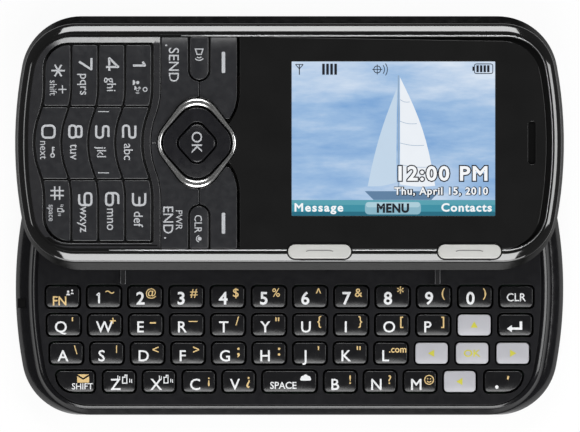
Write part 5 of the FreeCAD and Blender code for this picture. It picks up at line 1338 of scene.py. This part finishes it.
def screen_marks(left, right, head):
    """The dark marks along the top: signal, location and battery."""
    x, y = left + 1.6, head - 0.6
    shapes = [stroke([(x, y - 0.1), (x, head - 2.75)], 0.2)]
    shapes += [stroke(path, 0.16) for path in (
        [(left + 0.8, y), (x, head - 1.55)], [(left + 2.4, y), (x, head - 1.55)],
        [(left + 0.8, y), (left + 2.4, y)])]
    for n in range(4):
        shapes.append([rounded(left + 6.6 + 0.84 * n, head - 1.6, 0.55, 2.3, 0.05, 1)])
        shapes.append([rounded(right - 3.65 + 0.74 * n, head - 1.5, 0.5, 1.45, 0.05, 1)])
    case = [(right - 4.3, head - 0.5), (right - 0.5, head - 0.5),
            (right - 0.5, head - 2.5), (right - 4.3, head - 2.5)]
    shapes.append(stroke(bent(case, 0.45, True), 0.17))
    shapes.append([rounded(right - 4.55, head - 1.5, 0.35, 0.9, 0.05, 1)])
    x, y = left + 17.75, head - 1.65
    shapes.append(stroke(arc(x, y, 0.72, 0, 360, 18), 0.17))
    shapes += cross(x, y, 1.05, 0.15)
    return shapes + [stroke(arc(x, y, r, -36, 36, 6), 0.16) for r in (1.5, 2.1)]


def sail_shapes():
    """A sailing boat: main sail, jib, mast, hull, and the sail's seams."""
    def curved(first, last, bulge, steps=10):
        (x1, y1), (x2, y2) = first, last
        nx, ny = y2 - y1, x1 - x2
        size = math.hypot(nx, ny)
        path = []
        for k in range(steps + 1):
            swell = bulge * math.sin(math.pi * k / steps)
            path.append((x1 + (x2 - x1) * k / steps + nx / size * swell,
                         y1 + (y2 - y1) * k / steps + ny / size * swell))
        return path
    main = curved((22.9, 13.6), (30.2, -8.9), -1.1) + curved((30.2, -8.9), (22.9, -8.6), -0.3)[1:]
    jib = curved((22.3, 11.4), (16.2, -9.0), 0.6) + curved((16.2, -9.0), (22.1, -8.2), 0.3)[1:]
    mast = stroke([(22.6, 14.0), (22.6, -10.2)], 0.3)[0]
    hull = [(15.6, -10.0), (31.2, -10.0), (29.4, -11.8), (17.4, -11.8)]
    seams = [stroke(curved((22.9, y), (22.9 + (13.6 - y) * 0.33 + 0.5, y - 0.5), 0.25), 0.1)
             for y in (9.0, 4.5, 0.0, -4.5)]
    return [main], [jib], [mast], [hull], seams


def make_screen():
    """The picture on the display: sky, a sailing boat, a clock and the soft-key bar."""
    level = FACE - 0.08
    left, right = SCREEN_X - SCREEN_LENGTH / 2, SCREEN_X + SCREEN_LENGTH / 2
    foot, head = SCREEN_Y - SCREEN_WIDTH / 2, SCREEN_Y + SCREEN_WIDTH / 2
    tab_x = SCREEN_X - 0.1

    def bar(rise, height):
        return [rounded(SCREEN_X, foot + rise, SCREEN_LENGTH - 0.06, height, 0.05, 4)]

    main, jib, mast, hull, seams = sail_shapes()
    clock, day = [[printed("12:00 PM", right - 1.6 + grow, foot + 8.8, 2.8, 1.08, 0,
                           0.12 + grow, 1, spacing=1.17),
                   printed("Thu, April 15, 2010", right - 1.5 + grow, foot + 5.15, 1.45, 1.01, 0,
                           0.05 + 0.6 * grow, 1, spacing=1.13)] for grow in (0.24, 0)]
    clock += screen_marks(left, right, head)
    clock.append(printed("MENU", tab_x, foot + 1.6, 1.7, 0.93, 0, 0.12, spacing=1.1))
    day += [printed("Message", left + 0.6, foot + 1.75, 1.6, 1.1, 0, 0.07, -1, spacing=1.2),
            printed("Contacts", right - 0.7, foot + 1.75, 1.6, 1.08, 0, 0.07, 1, spacing=1.14)]
    layers = [
        (0.004, "screen_pale_sail", (0.55, 0.68, 0.82), [jib]),
        (0.011, "screen_sail", (0.84, 0.88, 0.93), [main]),
        (0.018, "screen_line", (0.28, 0.4, 0.55), [mast, *seams]),
        (0.018, "screen_hull", (0.12, 0.22, 0.36), [hull]),
        (0.011, "screen_teal", (0.05, 0.28, 0.37), [bar(1.65, 3.26)]),
        (0.018, "screen_light_teal", (0.1, 0.36, 0.44), [bar(2.75, 0.95)]),
        (0.018, "screen_deep_teal", (0.02, 0.15, 0.22), [bar(0.45, 0.85)]),
        (0.025, "screen_tab", (0.26, 0.47, 0.57),
         [[rounded(tab_x, foot + 1.6, 11.6, 2.6, 0.8, 4)]]),
        (0.032, "screen_gleam", (0.42, 0.62, 0.7),
         [[rounded(tab_x, foot + 2.3, 11.2, 1.05, 0.5, 4)]]),
        (0.039, "screen_black", (0.012, 0.014, 0.02), clock),
        (0.047, "screen_white", (0.93, 0.95, 0.97), day)]
    forms = [slab(rounded(SCREEN_X, SCREEN_Y, SCREEN_LENGTH - 0.04, SCREEN_WIDTH - 0.04, 0.05, 1),
                  level - 0.45, flat(level), 0.01)]
    forms += [ink(flat(level), *shapes, lift=lift, step=9) for lift, _, _, shapes in layers]
    finishes = [glowing("screen_sky", clouds)]
    finishes += [glowing(name, lit(colour)) for _, name, colour, _ in layers]
    piece("screen_picture", "slider", joined(*forms), finishes, True, sharp=0)


# -------------------------------------------------------- studio: floor, light

def lamp(name, azimuth, elevation, distance, wide, tall, radiance):
    """A soft box that faces the phone; azimuth 0 is the -Y side, 90 the +X side."""
    light = bpy.data.lights.new(name, "AREA")
    light.shape = "RECTANGLE"
    light.size, light.size_y = wide, tall
    light.energy = radiance * math.pi * wide * tall
    thing = placed(name, light)
    a, e = math.radians(azimuth), math.radians(elevation)
    way = Vector((math.sin(a) * math.cos(e), -math.cos(a) * math.cos(e), math.sin(e)))
    thing.location = way * distance + Vector((0, 0.015, 0))
    thing.rotation_euler = way.to_track_quat("Z", "Y").to_euler()


def make_camera():
    """Straight above the phone, far away, with the phone as large as in the picture."""
    distance, field = 2.5, 0.12043
    camera = bpy.data.cameras.new("camera")
    camera.sensor_width = 36
    camera.lens = 36 * (distance - 0.012) / field
    camera.clip_start, camera.clip_end = 0.1, 20
    view = placed("camera", camera)
    view.location = (0.0001, 0.01505, distance)
    bpy.context.scene.camera = view


def make_world():
    """A dim room, a little darker above."""
    world = bpy.data.worlds.new("studio")
    bpy.context.scene.world = world
    world.use_nodes = True
    tree = world.node_tree
    way = add(tree, "ShaderNodeTexCoord")["Generated"]
    height = add(tree, "ShaderNodeSeparateXYZ", {"Vector": way})["Z"]
    shade = ramp(tree, height, (0.0, (0.14, 0.14, 0.14)), (0.75, (0.09, 0.09, 0.09)))
    feed(tree, tree.nodes["Background"], {"Color": shade})


def make_floor():
    """White paper that keeps the phone's shadow and is clear when it is seen from below."""
    level, reach = -0.00002, 3
    mesh = bpy.data.meshes.new("floor")
    mesh.from_pydata([(x * reach, y * reach, level) for x, y in
                      ((-1, -1), (1, -1), (1, 1), (-1, 1))], [], [(0, 1, 2, 3)])
    ground = placed("floor", mesh)
    material = finish("floor_paper", (0.9, 0.9, 0.9), 0.9, vary=0.01, patch=3, bump=0)
    mesh.materials.append(material)
    tree = material.node_tree

    def maths(operation, *sources):
        return add(tree, "ShaderNodeMath", dict(enumerate(sources)), operation=operation)[0]

    def mixed(share, first, second):
        return add(tree, "ShaderNodeMixShader", {"Fac": share, 1: first, 2: second})["Shader"]

    ray = add(tree, "ShaderNodeLightPath")
    white_for = maths("MAXIMUM", maths("MAXIMUM", ray["Is Camera Ray"], ray["Is Glossy Ray"]),
                      ray["Is Transmission Ray"])
    paper = mixed(maths("MULTIPLY", white_for, 0.93),
                  tree.nodes["Principled BSDF"].outputs["BSDF"],
                  add(tree, "ShaderNodeEmission", {"Strength": 1.0})["Emission"])
    surface = mixed(add(tree, "ShaderNodeNewGeometry")["Backfacing"], paper,
                    add(tree, "ShaderNodeBsdfTransparent")["BSDF"])
    feed(tree, tree.nodes["Material Output"], {"Surface": surface})


# name, azimuth and elevation in degrees, distance, width and height in metres, radiance
LAMPS = (("front_box", 0, 43, 0.9, 0.5, 0.5, 7.0), ("front_low_box", 0, 21, 0.9, 0.9, 0.14, 4.0),
         ("back_box", 180, 42, 0.9, 0.5, 0.32, 7.2), ("left_box", 270, 47, 0.9, 0.4, 0.16, 2.8),
         ("right_box", 90, 42, 0.9, 0.45, 0.36, 5.3))


def make_studio():
    """The camera, the room, five soft lamps and the floor."""
    bpy.context.scene.view_settings.view_transform = "Standard"
    make_camera()
    make_world()
    for settings in LAMPS:
        lamp(*settings)
    make_floor()


for make in (make_studio, make_rim, make_trim, make_face, make_window, make_number_keys,
             make_nav_keys, make_nav_ring, make_nav_pad, make_rim_keys, make_camera_face,
             make_deck, make_caps, make_front_legends, make_letter_legends,
             make_cursor_legends, make_screen):
    make()

bpy.context.view_layer.update()
